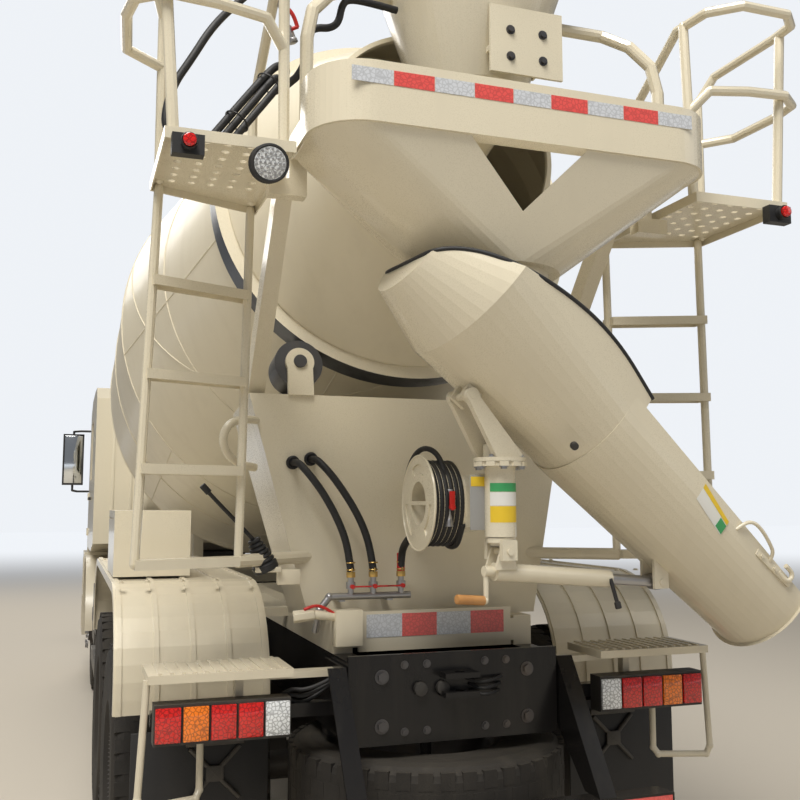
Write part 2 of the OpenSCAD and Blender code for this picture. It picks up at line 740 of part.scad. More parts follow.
module water_tank() {
  tank_y = cab_rear_y - 345;
  tank_z = 1880;
  tank_r = 240;
  tank_half = 760;
  color(cream) {
    translate([0, tank_y, tank_z]) rotate([0, 90, 0]) rotate_extrude($fn = 96)
      polygon(concat([[0, -tank_half - 60]], arc(tank_r - 60, -tank_half, 60, -90, 0, 6),
        arc(tank_r - 60, tank_half, 60, 0, 90, 6), [[0, tank_half + 60]]));
    both_sides() {
      span([frame_w / 2 - rail_flange, tank_y - 170, frame_top], [frame_w / 2, tank_y + 170, tank_z - 150]);
      difference() {
        x_bar(frame_w / 2 - 60, frame_w / 2 - 10, tank_y, tank_z, tank_r + 6);
        x_bar(frame_w / 2 - 61, frame_w / 2 - 9, tank_y, tank_z, tank_r - 1);
      }
    }
    translate([0, tank_y, tank_z + tank_r - 20]) cylinder(h = 60, r = 60);
  }
}

// Hopper, guard and platforms

guard_corner = 190;
guard_side = 260;
guard_t = 8;

// Plan of the hopper guard's outline, set in by e
module guard_plan(e) {
  y0 = rear_y + e;
  half = guard_half + 80 - e;
  r = guard_corner - e;
  polygon(concat([[half, y0 + 560], [-half, y0 + 560]],
    arc(-half + r, y0 + r, r, 180, 270, 12), arc(half - r, y0 + r, r, 270, 360, 12)));
}

module hopper_frame() {
  color(cream) {
    // Curved band round the back of the hopper
    translate([0, 0, guard_z]) linear_extrude(guard_h) difference() {
      guard_plan(0);
      guard_plan(guard_t);
      translate([-2000, rear_y + guard_side]) square([4000, 1000]);
    }
    // Inward flange along the band's lower edge
    translate([0, 0, guard_z]) linear_extrude(guard_t) difference() {
      guard_plan(1);
      guard_plan(70);
      translate([-2000, rear_y + guard_side]) square([4000, 1000]);
    }
    both_sides() {
      // Arm from the pedestal's corner up to the band
      hopper_arm();
      // Beam from the arm's head back along the band
      span([guard_half + 10, rear_y + guard_side - 40, guard_z + 10], [guard_half + 74, tail_y - 60, guard_z + 90]);
      // Outrigger under the platform
      span([guard_half + 70, tail_y - 310, platform_z - 90], [platform_in + 40, tail_y - 250, platform_z - 30]);
      span([guard_half + 10, tail_y - 310, platform_z - 90], [guard_half + 74, tail_y - 250, guard_z + 11]);
    }
  }
}

// A leaning box section: foot on the pedestal's top, head at the platform's height
module hopper_arm() {
  w = 70;
  head = [guard_half + 10, tail_y - 150, guard_z + 60];
  foot = [panel_top_half - 76, panel_top_y + 60, panel_top_z];
  hull() {
    translate(foot) cube([w, 110, 8]);
    translate(head) cube([w - 10, 110, 8]);
  }
}

neck_r = 200;
neck_z = 2440;
neck_top = 2575;
neck_off = 40;

hopper_front = -350;
lip_half = 260;
lip_z = 2735;

// Solid of the discharge hopper, its sheet surface moved inward by e
module hopper_body(e) {
  translate([0, post_y + neck_off, neck_z - e]) cylinder(h = neck_top - neck_z + 2 * e, r = neck_r - e);
  hull() {
    translate([0, post_y + neck_off, neck_top + e]) cylinder(h = 1, r = neck_r + 40 - e, $fn = 40);
    // Top edge inside the guard's band
    translate([0, 0, guard_z - 1 + e / 3]) linear_extrude(1) intersection() {
      guard_plan(guard_t + 4 + e);
      translate([-1000, rear_y]) square([2000, tail_y + hopper_front - e - rear_y]);
    }
    // Lip under the drum's mouth
    span([-lip_half + e, tail_y - 40, lip_z + e / 2], [lip_half - e, tail_y - e, lip_z + 1 + e / 2]);
  }
}

module discharge_hopper() {
  color(cream) difference() {
    hopper_body(0);
    hopper_body(6);
    // Keep clear of the drum's mouth
    in_drum_frame() drum_room(30);
    // The opening between the top edge and the lip
    side_profile(-900, 900) polygon([[tail_y + hopper_front - 8, guard_z - 12], [tail_y + 1, lip_z - 14],
      [tail_y + 1, guard_z + 2], [tail_y + hopper_front - 8, guard_z + 2]]);
    // V-shaped gap where the two leaves of the rear sheet part
    translate([-18, rear_y + 200, 2946]) rotate([90, 45, 0]) cube([300, 300, 500], center = true);
  }
}

module feed_hopper() {
  t = 6;
  top = 3960;
  low = 3330;
  foot_r = 215;
  rim_r = 430;
  funnel_y = tail_y - 200;
  plate_y = tail_y - 506;
  color(cream) {
    // Funnel: wide rim at the top, neck that reaches into the drum's mouth
    difference() {
      translate([0, funnel_y, low]) cylinder(h = top - low, r1 = foot_r, r2 = rim_r, $fn = 72);
      translate([0, funnel_y, low - 0.1]) cylinder(h = top - low + 0.2, r1 = foot_r - t, r2 = rim_r - t, $fn = 72);
    }
    difference() {
      translate([0, funnel_y, top - 60]) cylinder(h = 60, r = rim_r + 8, $fn = 72);
      translate([0, funnel_y, top - 61]) cylinder(h = 62, r = rim_r - 30, $fn = 72);
    }
    // Slanted spout from the neck into the mouth
    difference() {
      hull() {
        translate([0, funnel_y, low]) cylinder(h = 6, r = foot_r - 1, $fn = 32);
        translate([0, tail_y + 210, low - 150]) cylinder(h = 6, r = 190, $fn = 32);
      }
      hull() {
        translate([0, funnel_y, low - 1]) cylinder(h = 9, r = foot_r - 1 - t, $fn = 32);
        translate([0, tail_y + 210, low - 152]) cylinder(h = 9, r = 190 - t, $fn = 32);
      }
    }
    // Bolted plate on the funnel's rear, with four bolt holes
    difference() {
      span([-50, plate_y, 3306], [241, plate_y + 12, 3560]);
      for (x = [30, 160], z = [3370, 3470])
        translate([x, plate_y + 16, z]) rotate([90, 0, 0]) cylinder(h = 30, r = 9);
    }
    // Brackets from the plate to the funnel: [place across, end along Y]
    for (b = [[-40, funnel_y - 244], [221, funnel_y - 85]])
      span([b[0], plate_y + 11, 3400], [b[0] + 10, b[1], 3420]);
    // Hoop stays from the frame's beams up to the funnel
    stay_r = 24;
    both_sides() limbs([[guard_half + 42, tail_y - 420, guard_z + 90 + stay_r * cos(18)],
      [guard_half + 42, tail_y - 420, 3360], [guard_half + 20, tail_y - 410, 3470], [guard_half - 50, tail_y - 370, 3560],
      [540, tail_y - 290, 3630], [foot_r + 117, funnel_y, 3680]], stay_r);
  }
}

ladder_top_z = platform_z - 30;
ladder_foot_z = 1540;

// Plan of a tread between two points, set in by e
module tread_plan(p, q, e) {
  d = 45 - e;
  polygon([[p.x + e, p.y - d], [q.x - e, q.y - d], [q.x - e, q.y + d], [p.x + e, p.y + d]]);
}

// Ladder, platform and handrails of the right side, mirrored for the left
module ladder_right_side() {
  foot = [818, tail_y + 140, ladder_foot_z];
  head = [platform_in + 25, tail_y + 140, ladder_top_z];
  foot_o = [1205, tail_y + 10, ladder_foot_z];
  head_o = [platform_out - 30, tail_y - 30, ladder_top_z];
  rungs = 4;
  tread_h = 36;
  // Platform: a flat tray with holes
  difference() {
    translate([0, 0, platform_z - 30]) linear_extrude(38)
      polygon([[platform_in, tail_y - 560], [platform_out, tail_y - 560],
        [platform_out, tail_y - 10], [platform_in, tail_y + 160]]);
    translate([0, 0, platform_z - 31]) linear_extrude(27)
      polygon([[platform_in + 6, tail_y - 554], [platform_out - 6, tail_y - 554],
        [platform_out - 6, tail_y - 14], [platform_in + 6, tail_y + 152]]);
    for (x = [platform_in + 70 : 70 : platform_out - 60], y = [tail_y - 490 : 70 : tail_y - 60])
      translate([x, y, platform_z - 10]) cylinder(h = 30, r = 15, $fn = 8);
  }
  // Stiles, treads of folded sheet and the stay from the foot to the pedestal
  limb(foot, head + [0, 0, 12], 17);
  limb(foot_o, head_o + [0, 0, 12], 17);
  for (i = [0 : rungs - 1]) {
    p = foot + (head - foot) * i / rungs;
    q = foot_o + (head_o - foot_o) * i / rungs;
    translate([0, 0, p.z]) difference() {
      linear_extrude(tread_h, center = true) tread_plan(p, q, 0);
      translate([0, 0, -5]) linear_extrude(tread_h, center = true) tread_plan(p, q, 4);
    }
  }
  difference() {
    limb([panel_foot_half, panel_foot_y + 60, ladder_foot_z], [foot.x, foot.y, ladder_foot_z], 26);
    pedestal_block();
  }
  // Handrails: two posts, a high loop and a lower one that stands out at the side
  rail_top = platform_z + 710;
  rail_mid = platform_z + 440;
  deck = platform_z + 2;
  inner = platform_in + 30;
  outer = platform_out - 28;
  y_front = tail_y - 60;
  limbs([[inner, tail_y + 90, deck], [inner, tail_y + 90, rail_mid - 60], [inner, tail_y - 430, rail_top],
    [inner + 20, tail_y - 590, rail_top], [inner + 120, tail_y - 680, rail_top], [outer - 40, tail_y - 680, rail_top],
    [outer + 38, tail_y - 610, rail_top], [outer + 48, tail_y - 500, rail_top], [outer + 40, tail_y - 130, rail_top],
    [outer, y_front, rail_top - 100], [outer, y_front, deck]], handrail_r);
  limb([inner, tail_y - 500, deck], [inner, tail_y - 470, rail_top], handrail_r);
  limb([outer, tail_y - 535, deck], [outer + 47, tail_y - 535, rail_top], handrail_r);
  limbs([[inner, tail_y - 485, rail_mid - 90], [inner + 70, tail_y - 530, rail_mid - 10],
    [outer - 130, tail_y - 555, rail_mid], [outer + 30, tail_y - 570, rail_mid], [outer + 125, tail_y - 500, rail_mid],
    [outer + 145, tail_y - 380, rail_mid], [outer + 130, tail_y - 130, rail_mid], [outer, y_front, rail_mid - 20]],
    handrail_r);
}

module ladder_left() {
  color(cream) mirror([1, 0, 0]) ladder_right_side();
}

module ladder_right() {
  color(cream) ladder_right_side();
}

module tool_box() {
  box_y = tail_y + 900;
  color(cream) {
    difference() {
      span([-1235, box_y, mudguard_z + 12], [-905, box_y + 560, mudguard_z + 300]);
      span([-1236, box_y + 30, mudguard_z + 262], [-1229, box_y + 530, mudguard_z + 268]);
    }
    // Feet on the mudguard
    for (y = [box_y + 60, box_y + 440])
      span([-1200, y, mudguard_z + 7], [-940, y + 50, mudguard_z + 12]);
  }
}

// Water equipment on the rear panel

reel_c = [-190, tail_y - 119, 1757];
reel_r = 178;
bracket_half = 60;

module hose_reel() {
  reel_w = 120;
  color(cream) {
    difference() {
      x_bar(reel_c.x, reel_c.x + 6, reel_c.y, reel_c.z, reel_r);
      x_bar(reel_c.x - 1, reel_c.x + 7, reel_c.y, reel_c.z, 80);
      // Three curved slots
      for (a = [90, 210, 330]) translate(reel_c) rotate([a, 0, 0]) translate([-1, 0, 0])
        rotate([90, 0, 90]) rotate([0, 0, -28])
          rotate_extrude(angle = 56, $fn = 72) translate([112, 0]) square([34, 9]);
    }
    // Bar across the middle hole
    span([reel_c.x, reel_c.y - 84, reel_c.z - 7], [reel_c.x + 6, reel_c.y + 84, reel_c.z + 7]);
  }
  // Wound hose
  color(rubber) difference() {
    x_bar(reel_c.x + 6, -bracket_half, reel_c.y, reel_c.z, 160);
    x_bar(reel_c.x + 5, -bracket_half + 1, reel_c.y, reel_c.z, 84);
    for (x = [reel_c.x + 6 + 20 : 20 : -bracket_half - 10])
      translate([x, reel_c.y, reel_c.z]) rotate([0, 90, 0]) groove_ring(160, 5);
  }
}

// A shallow ring groove round the wound hose
module groove_ring(r, depth) {
  rotate_extrude($fn = 72) polygon([[r - depth, 0], [r + 1, -depth - 1], [r + 1, depth + 1]]);
}

manifold_z = 1388;
manifold_y = tail_y + 225;
// Valves on the water manifold: [x, hose foot height]
valve_x = [-352, -258, -140];

module water_manifold() {
  color(steel) {
    foot_x = frame_w / 2 + 50;
    bent_tube([[-foot_x, manifold_y + 60, 1250], [-foot_x, manifold_y, manifold_z - 50], [-440, manifold_y, manifold_z],
      [-100, manifold_y, manifold_z]], 14);
    for (x = valve_x) {
      translate([x, manifold_y, manifold_z]) cylinder(h = 95, r = 12);
      translate([x, manifold_y, manifold_z + 30]) cylinder(h = 26, r = 19);
    }
    // Clamps to the rear panel
    for (x = [-400, -200]) span([x, manifold_y - 4, manifold_z - 20],
      [x + 24, panel_y(manifold_z - 20), manifold_z - 8]);
  }
}

hose_r = 15;
// Hose routes from a grommet on the panel down to a valve, and from a valve up over the reel
hose_a = [[-556, 392.5, 1925], [-548, 340, 1925], [-535, 305, 1905], [-505, 280, 1865], [-460, 262, 1800],
  [-415, 250, 1720], [-380, 240, 1640], [-360, 230, 1560], [-352, 225, 1485.5]];
hose_b = [[-480, 397, 1940], [-472, 345, 1940], [-458, 308, 1920], [-425, 283, 1880], [-380, 264, 1815],
  [-330, 252, 1735], [-290, 240, 1650], [-266, 230, 1560], [-258, 225, 1485.5]];
hose_c = [[-140, 225, 1485.5], [-140, 222, 1530], [-144, 180, 1590], [-150, 90, 1620]];

function unit(v) = v / norm(v);
function tangent(p, i) = unit(p[min(i + 1, len(p) - 1)] - p[max(i - 1, 0)]);

// A round hose swept along its route as one closed body with ten sides
module hose(route, r) {
  n = 10;
  last = len(route) - 1;
  ref = [1, 0.2, 0.1];
  rings = [for (i = [0 : last]) let (t = tangent(route, i), u = unit(cross(t, ref)), w = cross(t, u))
    for (k = [0 : n - 1]) [route[i].x, route[i].y + tail_y, route[i].z] + r * (cos(k * 360 / n) * u + sin(k * 360 / n) * w)];
  sides = [for (i = [0 : last - 1], k = [0 : n - 1])
    [i * n + k, i * n + (k + 1) % n, (i + 1) * n + (k + 1) % n, (i + 1) * n + k]];
  polyhedron(points = rings, convexity = 6,
    faces = concat([[for (k = [n - 1 : -1 : 0]) k]], sides, [[for (k = [0 : n - 1]) last * n + k]]));
}

module water_hoses() {
  color(rubber) {
    hose(hose_a, hose_r);
    hose(hose_b, hose_r);
    hose(hose_c, hose_r);
  }
}

module marker_lamps() {
  color([0.15, 0.15, 0.15]) both_sides() {
    // Red marker lamp's housing on the platform's rear edge
    span([platform_out - 120, tail_y - 600, platform_z - 90], [platform_out - 20, tail_y - 560, platform_z - 24]);
    translate([platform_out - 70, tail_y - 600, platform_z - 56]) rotate([90, 0, 0]) cylinder(h = 26, r = 24);
  }
  // Round work lamp on the left
  color([0.15, 0.15, 0.15]) {
    translate([-platform_in - 100, tail_y - 582, platform_z - 88]) rotate([105, 0, 0]) cylinder(h = 50, r = 60);
    span([-platform_in - 110, tail_y - 590, platform_z - 70], [-platform_in - 90, tail_y - 540, platform_z - 30]);
  }
}

spare_z = 665;
spare_y = tail_y + 317;
spare_face = disc_dish + 7;

module spare_wheel() {
  translate([0, spare_y, spare_z]) rotate([0, 90, 0]) {
    tyre();
    rim(disc_dish);
  }
}

// Wheels

// Tyre outline as a half section: [radius, distance from the middle plane]
function tyre_section() = let (w = tyre_w / 2, r = tyre_d / 2, b = rim_d / 2 - 8)
  concat([[b, -w + 38], [b + 40, -w + 8], [r - 176, -w + 9]],
    [[r - 90, -w], [r - 40, -w + 4], [r - 8, -w + 26], [r, -w + 50],
    [r, w - 50], [r - 8, w - 26], [r - 40, w - 4], [r - 90, w]],
    [[b + 40, w - 8], [b, w - 38]]);

module tyre() {
  color(rubber) rotate([0, 90, 0]) rotate_extrude($fn = 96) polygon([for (p = tyre_section()) if (p.x > 0) p]);
}

// Disc wheel, its outer face towards +X; dish is how far the disc stands out
module rim(dish) {
  w = tyre_w / 2;
  b = rim_d / 2;
  s = dish > 0 ? 1 : -1;
  color(steel) rotate([0, 90, 0]) difference() {
    union() {
      // Rim barrel with its two flanges
      rotate_extrude($fn = 96) polygon([[b - 20, -w + 42], [b + 2, -w + 26], [b + 2, -w + 36], [b - 7, -w + 42],
        [b - 7, w - 42], [b + 2, w - 36], [b + 2, w - 26], [b - 20, w - 42]]);
      // Dished disc
      rotate_extrude($fn = 96) polygon([[disc_bore_r, dish - 7], [disc_flat_r, dish - 7],
        [b - 12, dish - s * 80 - 10], [b - 12, dish - s * 80 + 10], [disc_flat_r, dish + 7], [disc_bore_r, dish + 7]]);
    }
    // Hand holes
    for (i = [0 : 7]) rotate([0, 0, i * 45]) translate([b - 62, 0, dish - s * 40 - 60]) cylinder(h = 120, r = 24, $fn = 24);
  }
}

// Steered wheel with one tyre; its outer side is +X
module front_wheel() {
  tyre();
  rim(disc_dish);
  hub(-60, disc_dish + 70, disc_dish - 7);
}

// Twin wheel: two discs back to back on one hub
module twin_wheel() {
  for (s = [0, 1]) mirror([s, 0, 0]) translate([twin_gap / 2, 0, 0]) {
    tyre();
    rim(7 - twin_gap / 2);
  }
  hub(-250, twin_gap / 2 + 50, -14);
}

// Hub round the spindle, closed at its outer end, with the flange that the discs are bolted to
module hub(x0, x1, flange_x) {
  color(steel) difference() {
    union() {
      x_bar(x0, x1, 0, 0, disc_bore_r - 25);
      x_bar(flange_x - 24, flange_x, 0, 0, disc_flat_r);
      x_bar(flange_x - 24, flange_x + 60, 0, 0, disc_bore_r + 2);
    }
    x_bar(x0 - 1, x1 - 26, 0, 0, spindle_r + run_gap);
  }
}

module place_wheel(track, y, side) {
  if (side > 0) translate([track / 2, y, axle_z]) children();
  else mirror([1, 0, 0]) translate([track / 2, y, axle_z]) children();
}

module knuckle_right() { knuckle(); }
module knuckle_left() { mirror([1, 0, 0]) knuckle(); }
module wheel_front_left() { place_wheel(track_front, axle1_y, -1) front_wheel(); }
module wheel_front_right() { place_wheel(track_front, axle1_y, 1) front_wheel(); }
module wheel_mid_left() { place_wheel(track_rear, axle2_y, -1) twin_wheel(); }
module wheel_mid_right() { place_wheel(track_rear, axle2_y, 1) twin_wheel(); }
module wheel_rear_left() { place_wheel(track_rear, axle3_y, -1) twin_wheel(); }
module wheel_rear_right() { place_wheel(track_rear, axle3_y, 1) twin_wheel(); }

// Drum

module drum() {
  inner = [for (p = drum_outline) [max(p[1] - drum_t, 1), p[0]]];
  color(cream) in_drum_frame() {
    rotate_extrude($fn = 200) polygon(concat(
      [for (p = drum_outline) [p[1], p[0]]],
      [[0, drum_end_t], [0, drum_end_t - 70], [548, head_t + 110]],
      [for (i = [5 : -1 : 0]) inner[i]]));
    // Rolled lip round the mouth
    translate([0, 0, mouth_t - 10]) difference() {
      cylinder(h = 20, r = mouth_r + 12, $fn = 120);
      translate([0, 0, -1]) cylinder(h = 22, r = mouth_r - drum_t, $fn = 120);
    }
  }
}

module roller_ring() {
  color([0.25, 0.25, 0.26]) in_drum_frame() translate([0, 0, -ring_w / 2]) difference() {
    cylinder(h = ring_w, r = ring_r, $fn = 200);
    translate([0, 0, -1]) cylinder(h = ring_w + 2, r = ring_r - ring_t, $fn = 200);
  }
}

module roller() {
  half = ring_w / 2 + 8;
  color(steel) translate([roller_x, roller_y, roller_z]) rotate([-90 - drum_tilt, 0, 0]) {
    translate([0, 0, -half]) cylinder(h = 2 * half, r = roller_r, $fn = 72);
    translate([0, 0, -half - 36]) cylinder(h = 2 * half + 72, r = roller_pin_r);
  }
}

module roller_right() { roller(); }
module roller_left() { mirror([1, 0, 0]) roller(); }

// Chute, its post and its jack

bracket_z = [1650, 1860];

module post_bracket() {
  // Fixed tube that the post turns in, on a box arm from the rear panel
  color(cream) {
    difference() {
      union() {
        translate([0, post_y, post_foot_z]) cylinder(h = post_flange_z - post_foot_z, r = post_r);
        translate([0, post_y, post_flange_z - 16]) cylinder(h = 16, r = post_r + 40);
        side_profile(-bracket_half, bracket_half) polygon([
          [post_y + post_r - 20, bracket_z[0] + 30],
          [panel_y(bracket_z[0] - 40), bracket_z[0] - 40], [panel_y(bracket_z[1]), bracket_z[1]],
          [post_y + post_r - 20, bracket_z[1]]]);
      }
      translate([0, post_y, post_foot_z - 1]) cylinder(h = 400, r = post_shaft_r + run_gap);
      // Locking notches under the flange's rim
      for (a = [0 : 30 : 330]) translate([0, post_y, post_flange_z - 17]) rotate([0, 0, a])
        translate([post_r + 40, 0, 0]) cylinder(h = 18, r = 9, $fn = 16);
    }
  }
}

module chute_post() {
  head_z = post_flange_z + 1;
  color(cream) in_chute_frame() {
    // Shaft through the fixed tube, with the head that carries the chute's pin
    translate([0, 0, jack_pin_z + 20]) cylinder(h = head_z - jack_pin_z - 10, r = post_shaft_r);
    translate([0, 0, head_z]) cylinder(h = 14, r = post_r + 38);
    translate([0, 0, head_z]) cylinder(h = 60, r = post_r + 4);
    // Two cheeks lean back to the chute's pin
    for (s = [-1, 1]) translate([0, s * 60 + 12, 0]) rotate([90, 0, 0]) linear_extrude(24) difference() {
      union() {
        polygon([[-56, head_z + 10], [60, head_z + 10], [lift_pin_x + 18, lift_pin_z + 6], [lift_pin_x - 20, lift_pin_z - 12]]);
        translate([lift_pin_x, lift_pin_z]) circle(r = 25);
      }
      translate([lift_pin_x, lift_pin_z]) circle(r = 14 + run_gap);
    }
    // Clevis for the jack under the fixed tube
    translate([0, 0, jack_pin_z + 30]) cylinder(h = 18, r = post_r - 4);
    difference() {
      for (s = [-1, 1]) span([-30, s * 50 - 10, jack_pin_z - 30], [30, s * 50 + 10, jack_pin_z + 32]);
      translate([0, 100, jack_pin_z]) rotate([90, 0, 0]) cylinder(h = 200, r = 12 + run_gap);
    }
    span([-30, -60, jack_pin_z + 26], [30, 60, jack_pin_z + 40]);
  }
}

// Trough frame: +X runs down the slope from the lift pin, +Z stands off it
module in_trough_frame() {
  in_chute_frame() translate([lift_pin_x, 0, lift_pin_z]) rotate([0, chute_slope, 0]) children();
}

trough_off = 32;
chute_end_s = -446;
chute_end_r = 185;
chute_top_s = -200;
chute_mid_s = 500;
// Rim of the upper section in side view: [along the slope, off the lift pin]
scoop_rim = [[chute_end_s - 1, 223], [-408, 268], [-334, 312], [-243, 336], [-135, 366], [-7, 402], [139, 427],
  [296, 426], [456, 396], [chute_mid_s + 10, 385]];

// A trough's cross-section with straight sides, as a thin slab at s
module trough_slab(s, r, lift, h) {
  translate([s, 0, trough_off + lift]) rotate([90, 0, 90]) linear_extrude(1)
    polygon(concat(arc(0, r, r, 180, 360, 24), [[r, r + h], [-r, r + h]]));
}

// The upper section filled up, its sheet surface moved inward by e
module scoop_block(e) {
  hull() {
    trough_slab(chute_end_s + e, chute_end_r - e, 64 + e, 60);
    trough_slab(chute_top_s, chute_top_r - e, e, 120 + e);
    trough_slab(chute_mid_s - 1 + (e > 0 ? 2 : 0), chute_mid_r - e, e, 220 + e);
  }
}

// Side view of the trough, drawn out across it
module trough_side() {
  translate([0, 500, 0]) rotate([90, 0, 0]) linear_extrude(1000) children();
}

module chute() {
  wall_low = 60;
  color(cream) in_trough_frame() {
    // Upper section: a scoop closed at its upper end, its rim cut to a long curve
    difference() {
      scoop_block(0);
      scoop_block(chute_t);
      trough_side() polygon(concat([[-700, 223]], scoop_rim, [[chute_mid_s + 10, 1200], [-700, 1200]]));
    }
    // Lower section: it laps round the upper one and narrows to the tip
    difference() {
      hull() {
        trough_slab(chute_mid_s - 60, chute_mid_r + chute_t + 1, -chute_t - 1, wall_low);
        trough_slab(chute_l - 1, chute_tip_r, 0, 24);
      }
      hull() {
        trough_slab(chute_mid_s - 62, chute_mid_r + 1, -1, wall_low + 20);
        trough_slab(chute_l + 1, chute_tip_r - chute_t, chute_t, 40);
      }
    }
    // Lip at the tip
    difference() {
      trough_slab(chute_l - 12, chute_tip_r + 14, -14, 20);
      hull() for (s = [-14, 16]) trough_slab(chute_l + s, chute_tip_r - chute_t, chute_t, 60);
    }
    // Lift ears with the pin that turns in the post's cheeks
    for (s = [-1, 1]) span([-24, s * 34 - 10, -20], [40, s * 34 + 10, trough_off + 14]);
    translate([0, 74, 0]) rotate([90, 0, 0]) cylinder(h = 148, r = 14);
  }
  color(cream) jack_lug();
}

// Where the jack's rod meets the chute, in the chute frame
jack_eye = [jack_lug_u, 0, trough_under(jack_lug_u) - 52];

// Height of the trough's underside above the ground, at a distance u from the post's axis
function trough_under(u) = lift_pin_z - (u - lift_pin_x) * tan(chute_slope) + (trough_off - chute_t - 1) / cos(chute_slope);

module jack_lug() {
  // Two ears under the trough with the eye's pin between them
  in_chute_frame() {
    for (s = [-1, 1]) translate([0, s * 34 + 6, 0]) rotate([90, 0, 0]) linear_extrude(12) polygon([
      [jack_eye.x - 34, jack_eye.z - 24], [jack_eye.x + 34, jack_eye.z - 24],
      [jack_eye.x + 34, trough_under(jack_eye.x + 34) + 11], [jack_eye.x - 34, trough_under(jack_eye.x - 34) + 11]]);
    translate([jack_eye.x, 44, jack_eye.z]) rotate([90, 0, 0]) cylinder(h = 88, r = 11);
  }
}

// Direction of the jack in the chute frame
jack_base = [-30, 0, jack_pin_z - jack_axis_drop];
jack_dir = unit(jack_eye - jack_base);
jack_len = norm(jack_eye - jack_base);

module jack_tube() {
  tube_l = 500;
  color(cream) in_chute_frame() {
    difference() {
      bar(jack_base, jack_base + jack_dir * tube_l, jack_r);
      bar(jack_base + jack_dir * 40, jack_base + jack_dir * (tube_l + 1), jack_rod_r + run_gap);
    }
    // Saddle plates up to the clevis pin
    for (s = [-1, 1]) translate([0, s * 32 - 5, 0]) rotate([90, 0, 0]) mirror([0, 0, 1])
      linear_extrude(10) polygon([[-45, jack_pin_z - jack_axis_drop + 8], [45, jack_pin_z - jack_axis_drop + 8],
        [20, jack_pin_z + 12], [-20, jack_pin_z + 12]]);
    translate([0, 66, jack_pin_z]) rotate([90, 0, 0]) cylinder(h = 132, r = 12);
    // Crank with its wooden grip
    bar(jack_base - jack_dir * 40, jack_base, 18);
    bar(jack_base - jack_dir * 32, jack_base - jack_dir * 32 + [0, 0, -105], 9);
    bar(jack_base - jack_dir * 32 + [0, 0, -100], jack_base - jack_dir * 150 + [0, 0, -100], 13);
  }
}

module jack_rod() {
  color(steel) in_chute_frame() difference() {
    union() {
      bar(jack_base + jack_dir * 200, jack_eye - jack_dir * 22, jack_rod_r);
      translate(jack_eye + [0, 18, 0]) rotate([90, 0, 0]) cylinder(h = 36, r = 30);
    }
    // The eye is wide, so that the rod can follow the chute's arc
    translate(jack_eye + [0, 50, 0]) rotate([90, 0, 0]) cylinder(h = 100, r = 19);
  }
}

// Cab

door_front_y = front_y - 340;
door_rear_y = front_y - 1340;
screen_top_y = front_y - 250;
floor_z = 1400;
panel_low_z = 850;
cab_half = cab_w / 2;
hinge_x = cab_half + 10;
hinge_y = door_front_y + 3;

// Side outline of the cab, moved inward by e
function cab_outline(e) = [
  [cab_rear_y + e, floor_z + e], [cab_rear_y + e, roof_z - 130 - e], [cab_rear_y + 140 + e / 2, roof_z - 20 - e],
  [cab_rear_y + 700, roof_z - e], [screen_top_y - 420, roof_z - 10 - e], [screen_top_y - e, roof_z - 130 - e],
  [front_y - 60 - e, belt_z - e / 2], [front_y - 20 - e, 1500], [front_y - 20 - e, sill_z + e],
  [cab_rear_y + 700, sill_z + e]];

module cab_box(e) {
  side_profile(-cab_half + e, cab_half - e) polygon(cab_outline(e));
}

module screen_area() {
  span([-cab_half + 130, front_y - 400, belt_z + 60], [cab_half - 130, front_y + 50, roof_z - 200]);
}

module cab_skin() {
  difference() {
    cab_box(0);
    cab_box(cab_wall);
    // Windscreen
    screen_area();
    // Rear window
    span([-560, cab_rear_y - 10, 2080], [560, cab_rear_y + cab_wall + 10, 2520]);
    // Door openings
    both_sides() door_hole(seam);
  }
}

// The door's outline in side view, grown outward by e
module door_outline(e) {
  polygon([[door_rear_y - e, sill_z - 20], [door_front_y + e, sill_z - 20], [door_front_y + e, belt_z],
    [door_front_y - 170 + e, roof_z - 170 + e], [door_rear_y - e, roof_z - 170 + e]]);
}

module door_hole(e) {
  side_profile(cab_half - cab_wall - 20, cab_half + 20) door_outline(e);
}

roof_seam_z = roof_z - 150;

// Depth of the front panel
front_t = 78;

module cab_shell() {
  color(cream) {
    intersection() {
      cab_skin();
      union() {
        span([-2000, cab_rear_y - 10, sill_z - 10], [2000, front_y - front_t, roof_seam_z]);
        span([-2000, front_y - 500, belt_z - 20], [2000, front_y + 10, roof_seam_z]);
      }
    }
    // Floor
    span([-cab_half + cab_wall + 26, cab_rear_y + 20, floor_z],
      [cab_half - cab_wall - 26, front_y - 120, floor_z + 40]);
    // Tilt hinge arms with the pin that turns in the bumper's brackets
    both_sides() {
      span([frame_w / 2 + 10, front_y - 122, tilt_pin.z - 20], [frame_w / 2 + 60, front_y - 84, floor_z + 20]);
      x_bar(frame_w / 2 - 58, frame_w / 2 + 60, tilt_pin.y, tilt_pin.z, tilt_pin_r);
    }
  }
}

module cab_roof() {
  color(cream) {
    intersection() {
      cab_skin();
      span([-2000, cab_rear_y - 10, roof_seam_z], [2000, front_y, roof_z + 10]);
    }
  }
}

module cab_front() {
  color(cream) difference() {
    union() {
      intersection() {
        cab_skin();
        span([-2000, front_y - front_t, sill_z - 10], [2000, front_y, belt_z - 20 - seam]);
      }
      span([-cab_half + 4, front_y - 70, panel_low_z], [cab_half - 4, front_y - 20, sill_z + 30]);
    }
    // Grille slots
    for (z = [940 : 70 : 1290]) span([-760, front_y - 80, z], [760, front_y + 1, z + 36]);
  }
  // Three wiper arms under the screen
  color(black) for (x = [-620, 0, 620]) span([x, front_y - 70, belt_z - 62], [x + 30, front_y - 34, belt_z - 32]);
}

